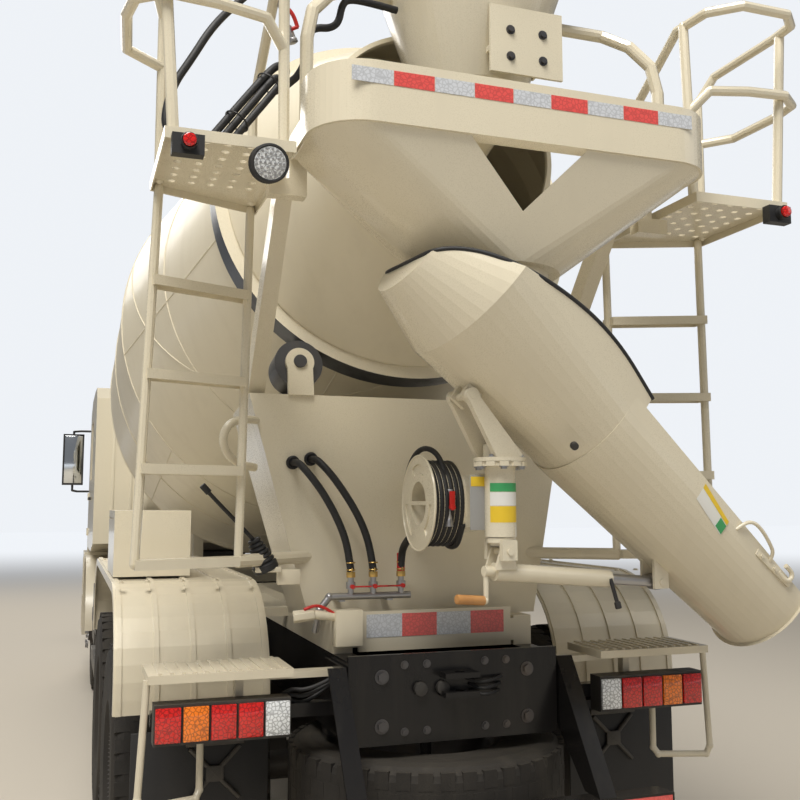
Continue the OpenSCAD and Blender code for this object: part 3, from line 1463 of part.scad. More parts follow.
module cab_glass() {
  glass_t = 6;
  color([0.3, 0.4, 0.42, 0.5]) {
    intersection() {
      difference() {
        cab_box(20);
        cab_box(20 + glass_t);
      }
      screen_area();
    }
    span([-560, cab_rear_y + 20, 2080], [560, cab_rear_y + 20 + glass_t, 2520]);
  }
}

module cab_interior() {
  color([0.2, 0.2, 0.22]) {
    // Two seats: base, cushion and back
    for (x = [-620, 620]) {
      span([x - 200, front_y - 1250, floor_z + 40], [x + 200, front_y - 850, floor_z + 260]);
      span([x - 250, front_y - 1330, floor_z + 260], [x + 250, front_y - 820, floor_z + 380]);
      span([x - 240, front_y - 1450, floor_z + 300], [x + 240, front_y - 1320, floor_z + 1000]);
    }
    // Dashboard from side to side
    side_profile(-cab_half + cab_wall + 30, cab_half - cab_wall - 30) polygon([
      [front_y - 500, floor_z + 300], [front_y - 470, floor_z + 560], [front_y - 180, floor_z + 520],
      [front_y - 160, floor_z + 40], [front_y - 260, floor_z + 40], [front_y - 300, floor_z + 250]]);
    // Steering column and wheel on the left
    bar([-620, front_y - 420, floor_z + 420], [-620, front_y - 600, floor_z + 640], 26);
    translate([-620, front_y - 600, floor_z + 640]) rotate([39, 0, 0]) {
      difference() {
        cylinder(h = 26, r = 225, center = true);
        cylinder(h = 40, r = 198, center = true);
      }
      for (a = [0, 120, 240]) rotate([0, 0, a]) translate([-14, 0, -8]) cube([28, 205, 16]);
    }
  }
}

module mirrors() {
  color(black) both_sides() {
    // Two bent arms and a tall housing, ahead of the door's hinge line
    limbs([[cab_half + 12, front_y - 290, 2560], [cab_half + 110, front_y - 290, 2560],
      [cab_half + 180, front_y - 200, 2560], [cab_half + 180, front_y - 200, 2510]], 12);
    limbs([[cab_half + 12, front_y - 160, 1900], [cab_half + 130, front_y - 160, 1900],
      [cab_half + 180, front_y - 200, 1910], [cab_half + 180, front_y - 200, 1990]], 12);
    difference() {
      span([cab_half + 70, front_y - 240, 1970], [cab_half + 290, front_y - 160, 2530]);
      span([cab_half + 85, front_y - 241, 1985], [cab_half + 275, front_y - 232, 2515]);
    }
  }
}

module door_right() {
  // Door with its window cut and a grab recess
  color(cream) {
    difference() {
      intersection() {
        difference() {
          cab_box(0);
          cab_box(cab_wall);
        }
        door_hole(0);
      }
      side_profile(cab_half - 200, cab_half + 200) polygon([
        [door_rear_y + 80, belt_z + 50], [door_front_y - 80, belt_z + 50],
        [door_front_y - 215, roof_z - 250], [door_rear_y + 80, roof_z - 250]]);
      span([cab_half - 20, door_rear_y + 60, belt_z - 190], [cab_half + 1, door_rear_y + 230, belt_z - 130]);
    }
    // Two hinge knuckles on the door's axis
    for (z = [sill_z + 120, belt_z - 160]) {
      translate([hinge_x, hinge_y, z]) cylinder(h = 80, r = 8);
      span([cab_half - 4, hinge_y - 45, z], [hinge_x + 3, hinge_y - 4, z + 80]);
    }
    // Handle
    span([cab_half - 22, door_rear_y + 70, belt_z - 172], [cab_half - 2, door_rear_y + 220, belt_z - 150]);
    // Window pane frame bar
    span([cab_half - 40, door_front_y - 330, belt_z + 40], [cab_half - 20, door_front_y - 300, roof_z - 245]);
  }
}

module door_left() { mirror([1, 0, 0]) door_right(); }

chassis_frame();
underrun_guard();
tail_lamps();
rear_steps();
leaf_springs();
front_axle();
rear_axles();
driveline();
fuel_tank();
side_gear();
mudguards();
front_fenders();
bumper();
head_lamps();
subframe();
rear_pedestal();
drum_drive();
water_tank();
hopper_frame();
discharge_hopper();
feed_hopper();
ladder_left();
ladder_right();
tool_box();
hose_reel();
water_hoses();
water_manifold();
marker_lamps();
spare_wheel();
post_bracket();
cab_shell();
cab_roof();
cab_front();
cab_glass();
cab_interior();
mirrors();
door_left();
door_right();
knuckle_left();
knuckle_right();
wheel_front_left();
wheel_front_right();
wheel_mid_left();
wheel_mid_right();
wheel_rear_left();
wheel_rear_right();
drum();
roller_ring();
roller_left();
roller_right();
chute_post();
chute();
jack_tube();
jack_rod();
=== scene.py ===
import math
import bpy
from mathutils import Matrix, Vector


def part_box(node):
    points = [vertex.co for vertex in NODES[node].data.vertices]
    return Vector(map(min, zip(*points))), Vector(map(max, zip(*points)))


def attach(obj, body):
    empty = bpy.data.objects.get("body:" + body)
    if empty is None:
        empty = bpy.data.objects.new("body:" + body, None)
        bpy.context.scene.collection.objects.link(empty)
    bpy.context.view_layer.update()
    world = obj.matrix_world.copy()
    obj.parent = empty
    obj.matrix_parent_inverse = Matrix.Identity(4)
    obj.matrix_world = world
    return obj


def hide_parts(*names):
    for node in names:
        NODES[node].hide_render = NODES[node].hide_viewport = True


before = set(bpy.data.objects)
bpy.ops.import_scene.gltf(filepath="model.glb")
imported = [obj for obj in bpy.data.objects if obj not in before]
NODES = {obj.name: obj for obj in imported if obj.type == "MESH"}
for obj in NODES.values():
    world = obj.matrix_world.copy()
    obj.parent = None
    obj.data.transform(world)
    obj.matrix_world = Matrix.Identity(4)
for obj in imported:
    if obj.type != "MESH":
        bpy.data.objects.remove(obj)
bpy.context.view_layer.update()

# Driving places, in metres, read from the frame
TAIL_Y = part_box("tail_lamps")[0][1]
REAR_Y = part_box("hopper_frame")[0][1]
FRONT_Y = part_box("bumper")[1][1]
WHEEL_LOW, WHEEL_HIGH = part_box("wheel_rear_left")
AXLE_Z = (WHEEL_LOW[2] + WHEEL_HIGH[2]) / 2
TYRE_R = (WHEEL_HIGH[2] - WHEEL_LOW[2]) / 2
WHEELS = [name for name in NODES if name.startswith("wheel_")]
# The post's axis, in millimetres forward of the tail and as a place
POST_BACK = -437
POST_Y = TAIL_Y + POST_BACK / 1000

# As in the part's source: the drum's tilt and roller ring, the chute's heading and slope, and its
# lift pin, outward from the post's axis and up
DRUM_TILT = math.radians(12)
RING_Y = TAIL_Y + 0.720
RING_Z = 3.150
CHUTE_HEADING = math.radians(8)
CHUTE_SLOPE = math.radians(37.5)
LIFT_PIN = (-0.150, 2.125)

# Colours, as linear values
SKY = (0.86, 0.89, 0.93, 1)
CREAM = (0.72, 0.655, 0.50)
CREAM_DARK = (0.52, 0.46, 0.34)
DUST = (0.42, 0.36, 0.27)
BLACK_PAINT = (0.012, 0.012, 0.014)


# Camera and stage

def make_camera():
    """The photograph's place and angle: low, behind the left rear corner."""
    focal_px, picture_px, sensor = 965, 800, 36
    yaw, pitch = math.radians(19.0), math.atan(105 / focal_px)
    bpy.ops.object.camera_add(
        location=(-1.440, TAIL_Y - 3.540, 1.750),
        rotation=(math.pi / 2 + pitch, 0, -yaw))
    camera = bpy.context.object
    camera.name = "photo_camera"
    camera.data.sensor_width = sensor
    camera.data.lens = sensor * focal_px / picture_px
    camera.data.clip_start = 0.05
    camera.data.clip_end = 200
    bpy.context.scene.camera = camera


def make_stage():
    bpy.ops.mesh.primitive_plane_add(size=120, location=(0, 0, 0))
    floor = bpy.context.object
    floor.name = "floor"
    floor.data.materials.append(stage_material())
    world = bpy.data.worlds.new("pale_studio")
    bpy.context.scene.world = world
    world.use_nodes = True
    nodes, links = world.node_tree.nodes, world.node_tree.links
    nodes.clear()
    seen = add(nodes, "ShaderNodeBackground", Color=SKY, Strength=1.0)
    lit = add(nodes, "ShaderNodeBackground", Color=(0.86, 0.89, 0.95, 1), Strength=0.22)
    path = nodes.new("ShaderNodeLightPath")
    mix = nodes.new("ShaderNodeMixShader")
    out = nodes.new("ShaderNodeOutputWorld")
    links.new(path.outputs["Is Camera Ray"], mix.inputs[0])
    links.new(lit.outputs[0], mix.inputs[1])
    links.new(seen.outputs[0], mix.inputs[2])
    links.new(mix.outputs[0], out.inputs[0])
    # A broad high light from behind the left shoulder, a weak one from the right, one over the cab
    for name, place, size, power in (
            ("key", (-4, TAIL_Y - 5, 13), 7, 2200),
            ("fill", (10, TAIL_Y - 4, 8), 8, 200),
            ("front", (-3, FRONT_Y + 8, 11), 9, 1100)):
        bpy.ops.object.light_add(type="AREA", location=place)
        light = bpy.context.object
        light.name = name
        light.data.size = size
        light.data.energy = power
        light.data.color = (1.0, 0.97, 0.92)
        aim = Vector((0, TAIL_Y * 0.4, 1.5)) - Vector(place)
        light.rotation_euler = aim.to_track_quat("-Z", "Y").to_euler()
    bpy.context.scene.view_settings.view_transform = "Standard"


# Shader helpers

def put(node, **sockets):
    """Sets a node's inputs by their names, with _ for each space."""
    for name, value in sockets.items():
        node.inputs[name.replace("_", " ")].default_value = value
    return node


def add(nodes, kind, **sockets):
    return put(nodes.new(kind), **sockets)


def ramp(nodes, links, source, start, end, top=1.0):
    """Maps the source, from start to end, on to the range from nothing to the top."""
    node = add(nodes, "ShaderNodeMapRange", From_Min=start, From_Max=end, To_Min=0.0, To_Max=top)
    links.new(source, node.inputs["Value"])
    return node.outputs[0]


def blend(nodes, links, factor):
    """A colour mix, with its two colours at inputs 6 and 7."""
    node = nodes.new("ShaderNodeMix")
    node.data_type = "RGBA"
    links.new(factor, node.inputs["Factor"])
    return node


def new_material(name):
    mat = bpy.data.materials.new(name)
    mat.use_nodes = True
    return mat, mat.node_tree.nodes, mat.node_tree.links, mat.node_tree.nodes["Principled BSDF"]


def stage_material():
    """Far from the truck the floor fades into the pale background."""
    mat, nodes, links, shader = new_material("pale_floor")
    put(shader, Roughness=0.9, Emission_Color=SKY)
    place = nodes.new("ShaderNodeTexCoord")
    reach = nodes.new("ShaderNodeVectorMath")
    reach.operation = "LENGTH"
    links.new(place.outputs["Object"], reach.inputs[0])
    fade = ramp(nodes, links, reach.outputs["Value"], 9.0, 34.0)
    fade.node.interpolation_type = "SMOOTHSTEP"
    tone = blend(nodes, links, fade)
    tone.inputs[6].default_value = (0.55, 0.50, 0.42, 1)
    tone.inputs[7].default_value = (0.0, 0.0, 0.0, 1)
    links.new(tone.outputs[2], shader.inputs["Base Color"])
    links.new(fade, shader.inputs["Emission Strength"])
    return mat


def weather_group():
    """Wear shared by every finish: broad soiling, fine grain, dust on low and level places."""
    group = bpy.data.node_groups.new("weather", "ShaderNodeTree")
    colour, number = "NodeSocketColor", "NodeSocketFloat"
    for name, kind, default in (
            ("Clean", colour, (0.8, 0.8, 0.8, 1)), ("Soiled", colour, (0.3, 0.3, 0.3, 1)),
            ("Soil", number, 0.3), ("Low Dust", number, 0.4), ("Rough", number, 0.4),
            ("Grain Scale", number, 60.0)):
        group.interface.new_socket(name=name, in_out="INPUT", socket_type=kind).default_value = default
    for name, kind in (("Color", colour), ("Roughness", number), ("Height", number)):
        group.interface.new_socket(name=name, in_out="OUTPUT", socket_type=kind)
    nodes, links = group.nodes, group.links
    inp, out = nodes.new("NodeGroupInput"), nodes.new("NodeGroupOutput")
    place = nodes.new("ShaderNodeTexCoord").outputs["Object"]
    broad = add(nodes, "ShaderNodeTexNoise", Scale=1.3, Detail=5.0, Roughness=0.6)
    streak_map = add(nodes, "ShaderNodeMapping", Scale=(9.0, 9.0, 0.8))
    streak = add(nodes, "ShaderNodeTexNoise", Scale=1.0, Detail=4.0, Roughness=0.55)
    grain = add(nodes, "ShaderNodeTexNoise", Detail=3.0)
    for node in (broad, streak_map, grain):
        links.new(place, node.inputs["Vector"])
    links.new(streak_map.outputs[0], streak.inputs["Vector"])
    links.new(inp.outputs["Grain Scale"], grain.inputs["Scale"])
    # Dust grows towards the ground and on faces that look up
    height, facing = nodes.new("ShaderNodeSeparateXYZ"), nodes.new("ShaderNodeSeparateXYZ")
    links.new(place, height.inputs[0])
    links.new(nodes.new("ShaderNodeNewGeometry").outputs["Normal"], facing.inputs[0])
    low = ramp(nodes, links, height.outputs["Z"], 1.7, 0.3)
    up = ramp(nodes, links, facing.outputs["Z"], 0.55, 1.0, 0.45)
    level = math_node(nodes, links, "ADD", low, up)
    dusty = math_node(nodes, links, "MULTIPLY", level, inp.outputs["Low Dust"])
    cloud = math_node(nodes, links, "MULTIPLY", dusty, broad.outputs[0])
    cloud = math_node(nodes, links, "MULTIPLY", cloud, 1.7)
    runs = ramp(nodes, links, streak.outputs[0], 0.50, 0.78)
    soil = math_node(nodes, links, "MULTIPLY", runs, inp.outputs["Soil"])
    total = math_node(nodes, links, "ADD", soil, cloud)
    total.node.use_clamp = True
    mix = blend(nodes, links, total)
    links.new(inp.outputs["Clean"], mix.inputs[6])
    links.new(inp.outputs["Soiled"], mix.inputs[7])
    links.new(mix.outputs[2], out.inputs["Color"])
    rough_gain = math_node(nodes, links, "MULTIPLY", total, 0.35)
    rough_grain = math_node(nodes, links, "MULTIPLY", grain.outputs[0], 0.12)
    rough = math_node(nodes, links, "ADD", inp.outputs["Rough"], rough_gain)
    rough = math_node(nodes, links, "ADD", rough, rough_grain)
    links.new(rough, out.inputs["Roughness"])
    links.new(grain.outputs[0], out.inputs["Height"])
    return group


def math_node(nodes, links, operation, a, b):
    node = nodes.new("ShaderNodeMath")
    node.operation = operation
    for index, value in enumerate((a, b)):
        if isinstance(value, (int, float)):
            node.inputs[index].default_value = value
        else:
            links.new(value, node.inputs[index])
    return node.outputs[0]


WEATHER = weather_group()


def finish_material(name, clean, soiled, wear, metallic=0.0, coat=0.0, distance=0.002, shine=0.5):
    """A weathered finish: the shared wear group feeds colour, roughness and a fine bump."""
    soil, low_dust, rough, grain, bump = wear
    mat, nodes, links, shader = new_material(name)
    put(shader, Metallic=metallic, Coat_Weight=coat, Coat_Roughness=0.12, Specular_IOR_Level=shine)
    group = nodes.new("ShaderNodeGroup")
    group.node_tree = WEATHER
    put(group, Clean=(*clean, 1), Soiled=(*soiled, 1), Soil=soil, Low_Dust=low_dust, Rough=rough,
        Grain_Scale=grain)
    relief = add(nodes, "ShaderNodeBump", Strength=bump, Distance=distance)
    links.new(group.outputs["Color"], shader.inputs["Base Color"])
    links.new(group.outputs["Roughness"], shader.inputs["Roughness"])
    links.new(group.outputs["Height"], relief.inputs["Height"])
    links.new(relief.outputs[0], shader.inputs["Normal"])
    return mat


def lens_material(name, colour, dark=0.45, relief=0.35, rough=0.12):
    """A moulded lamp lens or a tape: bright plastic with a fine prism grid under the gloss."""
    mat, nodes, links, shader = new_material(name)
    put(shader, Roughness=rough, Coat_Weight=0.8)
    place = nodes.new("ShaderNodeTexCoord")
    cells = add(nodes, "ShaderNodeTexVoronoi", Scale=70.0)
    cells.feature = "DISTANCE_TO_EDGE"
    links.new(place.outputs["Object"], cells.inputs["Vector"])
    wide = math_node(nodes, links, "MULTIPLY", cells.outputs["Distance"], 6.0)
    wide.node.use_clamp = True
    tone = blend(nodes, links, wide)
    tone.inputs[6].default_value = (*[c * dark for c in colour], 1)
    tone.inputs[7].default_value = (*[min(1, c * 1.15) for c in colour], 1)
    links.new(tone.outputs[2], shader.inputs["Base Color"])
    bump = add(nodes, "ShaderNodeBump", Strength=relief, Distance=0.003)
    links.new(cells.outputs["Distance"], bump.inputs["Height"])
    links.new(bump.outputs[0], shader.inputs["Normal"])
    return mat


def glass_material():
    mat, _, _, shader = new_material("tinted_glass")
    put(shader, Base_Color=(0.55, 0.66, 0.66, 1), Roughness=0.03, Transmission_Weight=0.9, IOR=1.45)
    return mat


# Each finish: its material's name, clean and soiled colours, the wear (soil, low dust, roughness,
# grain scale, bump) and what departs from plain paint
LABEL_WEAR = (0.1, 0.1, 0.4, 200, 0.08)
FINISHES = {
    "paint": ("cream_paint", CREAM, DUST, (0.10, 0.55, 0.22, 240, 0.05), {"coat": 0.5}),
    "drum_paint": ("drum_paint", CREAM, CREAM_DARK, (0.18, 0.2, 0.36, 34, 0.10),
                   {"coat": 0.18, "distance": 0.004}),
    "black": ("chassis_black", BLACK_PAINT, DUST, (0.05, 0.10, 0.32, 150, 0.12), {"shine": 0.3}),
    "gloss_black": ("gloss_black", (0.006, 0.006, 0.007), DUST, (0.03, 0.03, 0.16, 150, 0.04),
                    {"shine": 0.35}),
    "ring_steel": ("ring_steel", (0.10, 0.105, 0.115), (0.05, 0.05, 0.05), (0.5, 0.1, 0.3, 60, 0.2),
                   {"metallic": 0.8}),
    "steel": ("zinc_steel", (0.42, 0.42, 0.43), (0.25, 0.21, 0.16), (0.3, 0.25, 0.30, 120, 0.15),
              {"metallic": 0.9}),
    "dark_steel": ("worn_steel", (0.10, 0.10, 0.105), (0.20, 0.15, 0.10), (0.5, 0.2, 0.35, 90, 0.2),
                   {"metallic": 0.7}),
    "iron": ("engine_iron", (0.06, 0.062, 0.065), DUST, (0.35, 0.4, 0.5, 80, 0.3), {"metallic": 0.3}),
    "rubber": ("hose_rubber", (0.014, 0.014, 0.015), (0.06, 0.055, 0.05), (0.15, 0.1, 0.5, 180, 0.15), {}),
    "tyre": ("tyre_rubber", (0.012, 0.012, 0.013), DUST, (0.06, 0.09, 0.7, 130, 0.35), {"shine": 0.25}),
    "plastic": ("black_plastic", (0.016, 0.016, 0.017), DUST, (0.1, 0.15, 0.45, 300, 0.25), {}),
    "seat": ("seat_fabric", (0.05, 0.055, 0.065), (0.1, 0.1, 0.1), (0.2, 0.0, 0.8, 500, 0.5), {}),
    "mirror": ("mirror_glass", (0.75, 0.78, 0.80), (0.5, 0.5, 0.5), (0.05, 0.0, 0.02, 200, 0.0),
               {"metallic": 1.0}),
    "wood": ("varnished_wood", (0.50, 0.24, 0.07), (0.25, 0.10, 0.03), (0.6, 0.1, 0.35, 45, 0.2),
             {"coat": 0.3}),
    "brass": ("brass", (0.62, 0.42, 0.14), (0.25, 0.17, 0.08), (0.3, 0.1, 0.28, 120, 0.1),
              {"metallic": 0.95}),
    "red_paint": ("red_paint", (0.55, 0.02, 0.015), (0.2, 0.05, 0.03), (0.15, 0.1, 0.3, 150, 0.1), {}),
    "grey_plate": ("grey_plate", (0.33, 0.33, 0.32), DUST, LABEL_WEAR, {}),
    "yellow": ("yellow_label", (0.80, 0.55, 0.03), DUST, LABEL_WEAR, {}),
    "white": ("white_label", (0.78, 0.78, 0.74), DUST, LABEL_WEAR, {}),
    "green": ("green_label", (0.05, 0.35, 0.12), DUST, LABEL_WEAR, {}),
}
LENSES = {"lens_red": (0.62, 0.012, 0.008), "lens_amber": (0.85, 0.20, 0.01),
          "lens_clear": (0.75, 0.77, 0.78)}
TAPES = {"tape_red": (0.68, 0.085, 0.075), "tape_silver": (0.55, 0.57, 0.60)}


def make_materials():
    mats = {key: finish_material(*look, **extra) for key, (*look, extra) in FINISHES.items()}
    for key, colour in LENSES.items():
        mats[key] = lens_material(key, colour)
    for key, colour in TAPES.items():
        mats[key] = lens_material(key, colour, dark=0.84, relief=0.08, rough=0.3)
    mats["glass"] = glass_material()
    return mats


# The CAD nodes that aren't in cream paint; the wheels are tyre and worn steel
NODES_BY_FINISH = {
    "gloss_black": "chassis_frame underrun_guard",
    "black": "leaf_springs front_axle rear_axles side_gear knuckle_left knuckle_right",
    "plastic": "tail_lamps head_lamps marker_lamps mirrors",
    "iron": "driveline drum_drive",
    "steel": "fuel_tank water_manifold jack_rod",
    "dark_steel": "roller_left roller_right",
    "tyre": "spare_wheel " + " ".join(WHEELS),
    "drum_paint": "drum", "glass": "cab_glass", "seat": "cab_interior", "rubber": "water_hoses",
}
NODE_FINISH = {node: finish for finish, nodes in NODES_BY_FINISH.items() for node in nodes.split()}
# Radii at which a finish changes: the rim's edge under the tyre's bead, the ring's running surface
BEAD_R = 0.279
RUNNING_R = 0.84
# Edges sharper than this, in degrees, stay sharp; the chute's bends are wider
SHARP = 32
CHUTE_SHARP = 52


def dress_nodes(mats):
    """Every CAD node gets its own finish; the wheels' tyres and rims are split by radius."""
    for name, obj in NODES.items():
        obj.data.materials.clear()
        obj.data.materials.append(mats[NODE_FINISH.get(name, "paint")])
        shade(obj, CHUTE_SHARP if name == "chute" else SHARP)
    for name in WHEELS + ["spare_wheel"]:
        split_rim(NODES[name], mats["dark_steel"], name)
    # Only the roller ring's running surface is bare
    ring_obj = NODES["roller_ring"]
    ring_obj.data.materials.append(mats["ring_steel"])
    centre = drum_point(0, 0, 0)
    axis = drum_point(1, 0, 0) - centre
    for face in ring_obj.data.polygons:
        arm = face.center - centre
        if abs(face.normal.dot(axis)) < 0.5 and (arm - axis * arm.dot(axis)).length > RUNNING_R:
            face.material_index = 1


def split_rim(obj, rim_mat, name):
    """Faces inside the bead radius take the rim's finish."""
    low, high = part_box(name)
    centre = [(a + b) / 2 for a, b in zip(low, high)]
    flat = name == "spare_wheel"
    obj.data.materials.append(rim_mat)
    for face in obj.data.polygons:
        a = face.center.x - centre[0] if flat else face.center.z - centre[2]
        b = face.center.y - centre[1]
        if math.hypot(a, b) < BEAD_R:
            face.material_index = 1


# Modelling helpers

def bare():
    bpy.ops.object.select_all(action="DESELECT")


def pick(obj):
    """Makes one object the only one selected, and the active one."""
    bare()
    bpy.context.view_layer.objects.active = obj
    obj.select_set(True)


def shade(obj, angle):
    """Shades an object smooth, apart from edges sharper than the angle."""
    pick(obj)
    bpy.ops.object.shade_smooth_by_angle(angle=math.radians(angle))
    obj.select_set(False)


def settle(obj, name, mat, body, angle=SHARP):
    """Applies the object's place to its mesh, names it and hands it to its body."""
    pick(obj)
    bpy.ops.object.transform_apply(location=True, rotation=True, scale=True)
    shade(obj, angle)
    obj.name = name
    obj.data.name = name
    obj.data.materials.clear()
    obj.data.materials.append(mat)
    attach(obj, body)
    return obj


def edit_mesh(step, select=None, **settings):
    """Runs one step of the mesh editor on the active object, first selecting all or none of it."""
    bpy.ops.object.mode_set(mode="EDIT")
    if select:
        bpy.ops.mesh.select_all(action=select)
    step(**settings)
    bpy.ops.object.mode_set(mode="OBJECT")


def join(objs):
    bare()
    for obj in objs:
        obj.select_set(True)
    bpy.context.view_layer.objects.active = objs[0]
    if len(objs) > 1:
        bpy.ops.object.join()
    return bpy.context.view_layer.objects.active


def block(low, high, bevel=0.0):
    """A box from its lowest to its highest corner, its edges bevelled."""
    bare()
    centre = [(a + b) / 2 for a, b in zip(low, high)]
    bpy.ops.mesh.primitive_cube_add(size=1, location=centre, scale=[b - a for a, b in zip(low, high)])
    obj = bpy.context.object
    bpy.ops.object.transform_apply(location=True, rotation=True, scale=True)
    if bevel:
        edit_mesh(bpy.ops.mesh.bevel, "SELECT", offset=bevel, segments=2, affect="EDGES")
    return obj


def rod(start, end, radius, sides=20, bevel=0.0, end_radius=None):
    """A round or tapered bar between two points, its rims bevelled."""
    bare()
    start, end = Vector(start), Vector(end)
    along = end - start
    shape = {"vertices": sides, "depth": along.length, "location": (start + end) / 2,
             "rotation": along.to_track_quat("Z", "Y").to_euler()}
    if end_radius is None:
        bpy.ops.mesh.primitive_cylinder_add(radius=radius, **shape)
    else:
        bpy.ops.mesh.primitive_cone_add(radius1=radius, radius2=end_radius, **shape)
    obj = bpy.context.object
    if bevel:
        edit_mesh(bpy.ops.mesh.select_all, action="DESELECT")
        for edge in obj.data.edges:
            a, b = (obj.data.vertices[i].co for i in edge.vertices)
            edge.select = abs(a.z - b.z) < 1e-6
        edit_mesh(bpy.ops.mesh.bevel, offset=bevel, segments=2, affect="EDGES")
    return obj


def ring(centre, axis, radius, thickness, sides=48, round_sides=10):
    """A torus round an axis: radius to the middle of its round section, half of that section."""
    bare()
    turn = Vector(axis).to_track_quat("Z", "Y").to_euler()
    bpy.ops.mesh.primitive_torus_add(major_radius=radius, minor_radius=thickness, major_segments=sides,
                                     minor_segments=round_sides, location=centre, rotation=turn)
    return bpy.context.object


def tube(points, radius, sides=4, smooth=True):
    """A round tube swept along the points, with more sides for a rounder one, made a mesh."""
    bare()
    bpy.ops.curve.primitive_nurbs_path_add()
    obj = bpy.context.object
    curve = obj.data
    curve.splines.clear()
    spline = curve.splines.new("NURBS" if smooth else "POLY")
    spline.points.add(len(points) - 1)
    for point, place in zip(spline.points, points):
        point.co = (*place, 1)
    if smooth:
        spline.order_u = 3
        spline.use_endpoint_u = True
    obj.location = (0, 0, 0)
    curve.dimensions = "3D"
    curve.resolution_u = 6 if smooth else 1
    curve.bevel_depth = radius
    curve.bevel_resolution = sides
    curve.use_fill_caps = True
    bpy.ops.object.convert(target="MESH")
    return bpy.context.object


def thicken(obj, thickness=0.0006):
    solid = obj.modifiers.new("thickness", "SOLIDIFY")
    solid.thickness = thickness
    bpy.ops.object.modifier_apply(modifier="thickness")


def bolt_heads(places, axis, radius=0.011, height=0.009):
    """Hexagon heads with washers at the given places, looking along the axis."""
    parts = []
    axis = Vector(axis).normalized()
    for place in places:
        place = Vector(place)
        parts.append(rod(place, place + axis * height * 0.25, radius * 1.45, 16))
        parts.append(rod(place + axis * height * 0.2, place + axis * height, radius, 6))
    return join(parts)


def plate(x, y, z, size_x, size_z, mat, name, thick=0.002):
    """A thin plate with rounded edges that faces the rear, from its lower left corner."""
    low = at(x, y, z)
    sheet = block((low.x, low.y - thick, low.z), (low.x + size_x, low.y, low.z + size_z), thick * 0.4)
    settle(sheet, name, mat, "chassis")


def turned(obj, angle, axis, centre):
    """Turns an object's mesh about an axis through a centre, the positive way round."""
    centre = Vector(centre)
    turn = Matrix.Translation(centre) @ Matrix.Rotation(angle, 4, axis) @ Matrix.Translation(-centre)
    obj.data.transform(turn @ obj.matrix_world)
    obj.matrix_world = Matrix.Identity(4)
    return obj


def mirrored(places):
    return [Vector((side * p[0], p[1], p[2])) for p in places for side in (-1, 1)]


# Places on the vehicle

def at(x, y, z):
    """A place given in millimetres, with y forward of the tail, as a point in metres."""
    return Vector((x / 1000, TAIL_Y + y / 1000, z / 1000))


def drum_point(t, radius, angle):
    """A point on the drum: t forward of the roller ring, at an angle round the axis."""
    forward = Vector((0, math.cos(DRUM_TILT), -math.sin(DRUM_TILT)))
    up = Vector((0, math.sin(DRUM_TILT), math.cos(DRUM_TILT)))
    arm = up * math.cos(angle) + Vector((1, 0, 0)) * math.sin(angle)
    return Vector((0, RING_Y, RING_Z)) + forward * t + arm * radius


def jack_point(u, w, z):
    """A point under the chute: u outward from the post's axis, w across the heading, z up."""
    out = Vector((math.cos(CHUTE_HEADING), math.sin(CHUTE_HEADING), 0))
    across = Vector((-math.sin(CHUTE_HEADING), math.cos(CHUTE_HEADING), 0))
    return Vector((0, POST_Y, 0)) + out * u + across * w + Vector((0, 0, z))


def chute_point(s, v, h):
    """A point on the trough: s down the slope from the lift pin, v across it, h off the pin."""
    u = LIFT_PIN[0] + s * math.cos(CHUTE_SLOPE) + h * math.sin(CHUTE_SLOPE)
    z = LIFT_PIN[1] - s * math.sin(CHUTE_SLOPE) + h * math.cos(CHUTE_SLOPE)
    return jack_point(u, v, z)


def trough_half(s, h):
    """Half width of the trough's outer surface at a height off the lift pin."""
    share = (s - 0.440) / 1.120
    radius = 0.256 - 0.041 * share
    floor = 0.026 + 0.006 * share
    depth = max(floor + radius - h, 0)
    return math.sqrt(max(radius * radius - depth * depth, 0))


def on_chute(obj):
    """Moves a piece modelled in the trough's own frame to its place on the truck."""
    origin = chute_point(0, 0, 0)
    axes = [chute_point(*step) - origin for step in ((1, 0, 0), (0, 1, 0), (0, 0, 1))]
    frame_turn = Matrix(axes).transposed().to_4x4()
    obj.data.transform(Matrix.Translation(origin) @ frame_turn @ obj.matrix_world)
    obj.matrix_world = Matrix.Identity(4)
    return obj


# Chute

SCOOP_RIM = ((-0.446, 0.224), (-0.408, 0.268), (-0.334, 0.312), (-0.243, 0.336), (-0.135, 0.366),
             (-0.007, 0.402), (0.139, 0.427), (0.296, 0.426), (0.456, 0.396), (0.505, 0.386))
# Stations of the scoop: place down the slope, half width, height of the floor
SCOOP_STATIONS = ((-0.446, 0.185, 0.096), (-0.200, 0.320, 0.032), (0.500, 0.250, 0.032))


def scoop_section(s):
    first, second = SCOOP_STATIONS[:2] if s < SCOOP_STATIONS[1][0] else SCOOP_STATIONS[1:]
    k = (s - first[0]) / (second[0] - first[0])
    return (first[1] + (second[1] - first[1]) * k, first[2] + (second[2] - first[2]) * k)


def make_chute_edge(mats):
    """Black rubber edge along the scoop's rim, on both sides and across its closed end."""
    def width(s, h):
        r, floor = scoop_section(s)
        depth = max(r + floor - h, 0)
        return math.sqrt(r * r - depth * depth) - 0.003
    side = [(s, width(s, h), h) for s, h in SCOOP_RIM]
    points = [chute_point(s, -v, h) for s, v, h in reversed(side)]
    points += [chute_point(SCOOP_RIM[0][0], v, SCOOP_RIM[0][1]) for v in (-0.09, 0, 0.09)]
    points += [chute_point(s, v, h) for s, v, h in side]
    settle(tube(points, 0.0085), "scoop_rubber_edge", mats["rubber"], "chute")


# Stripes and lamps

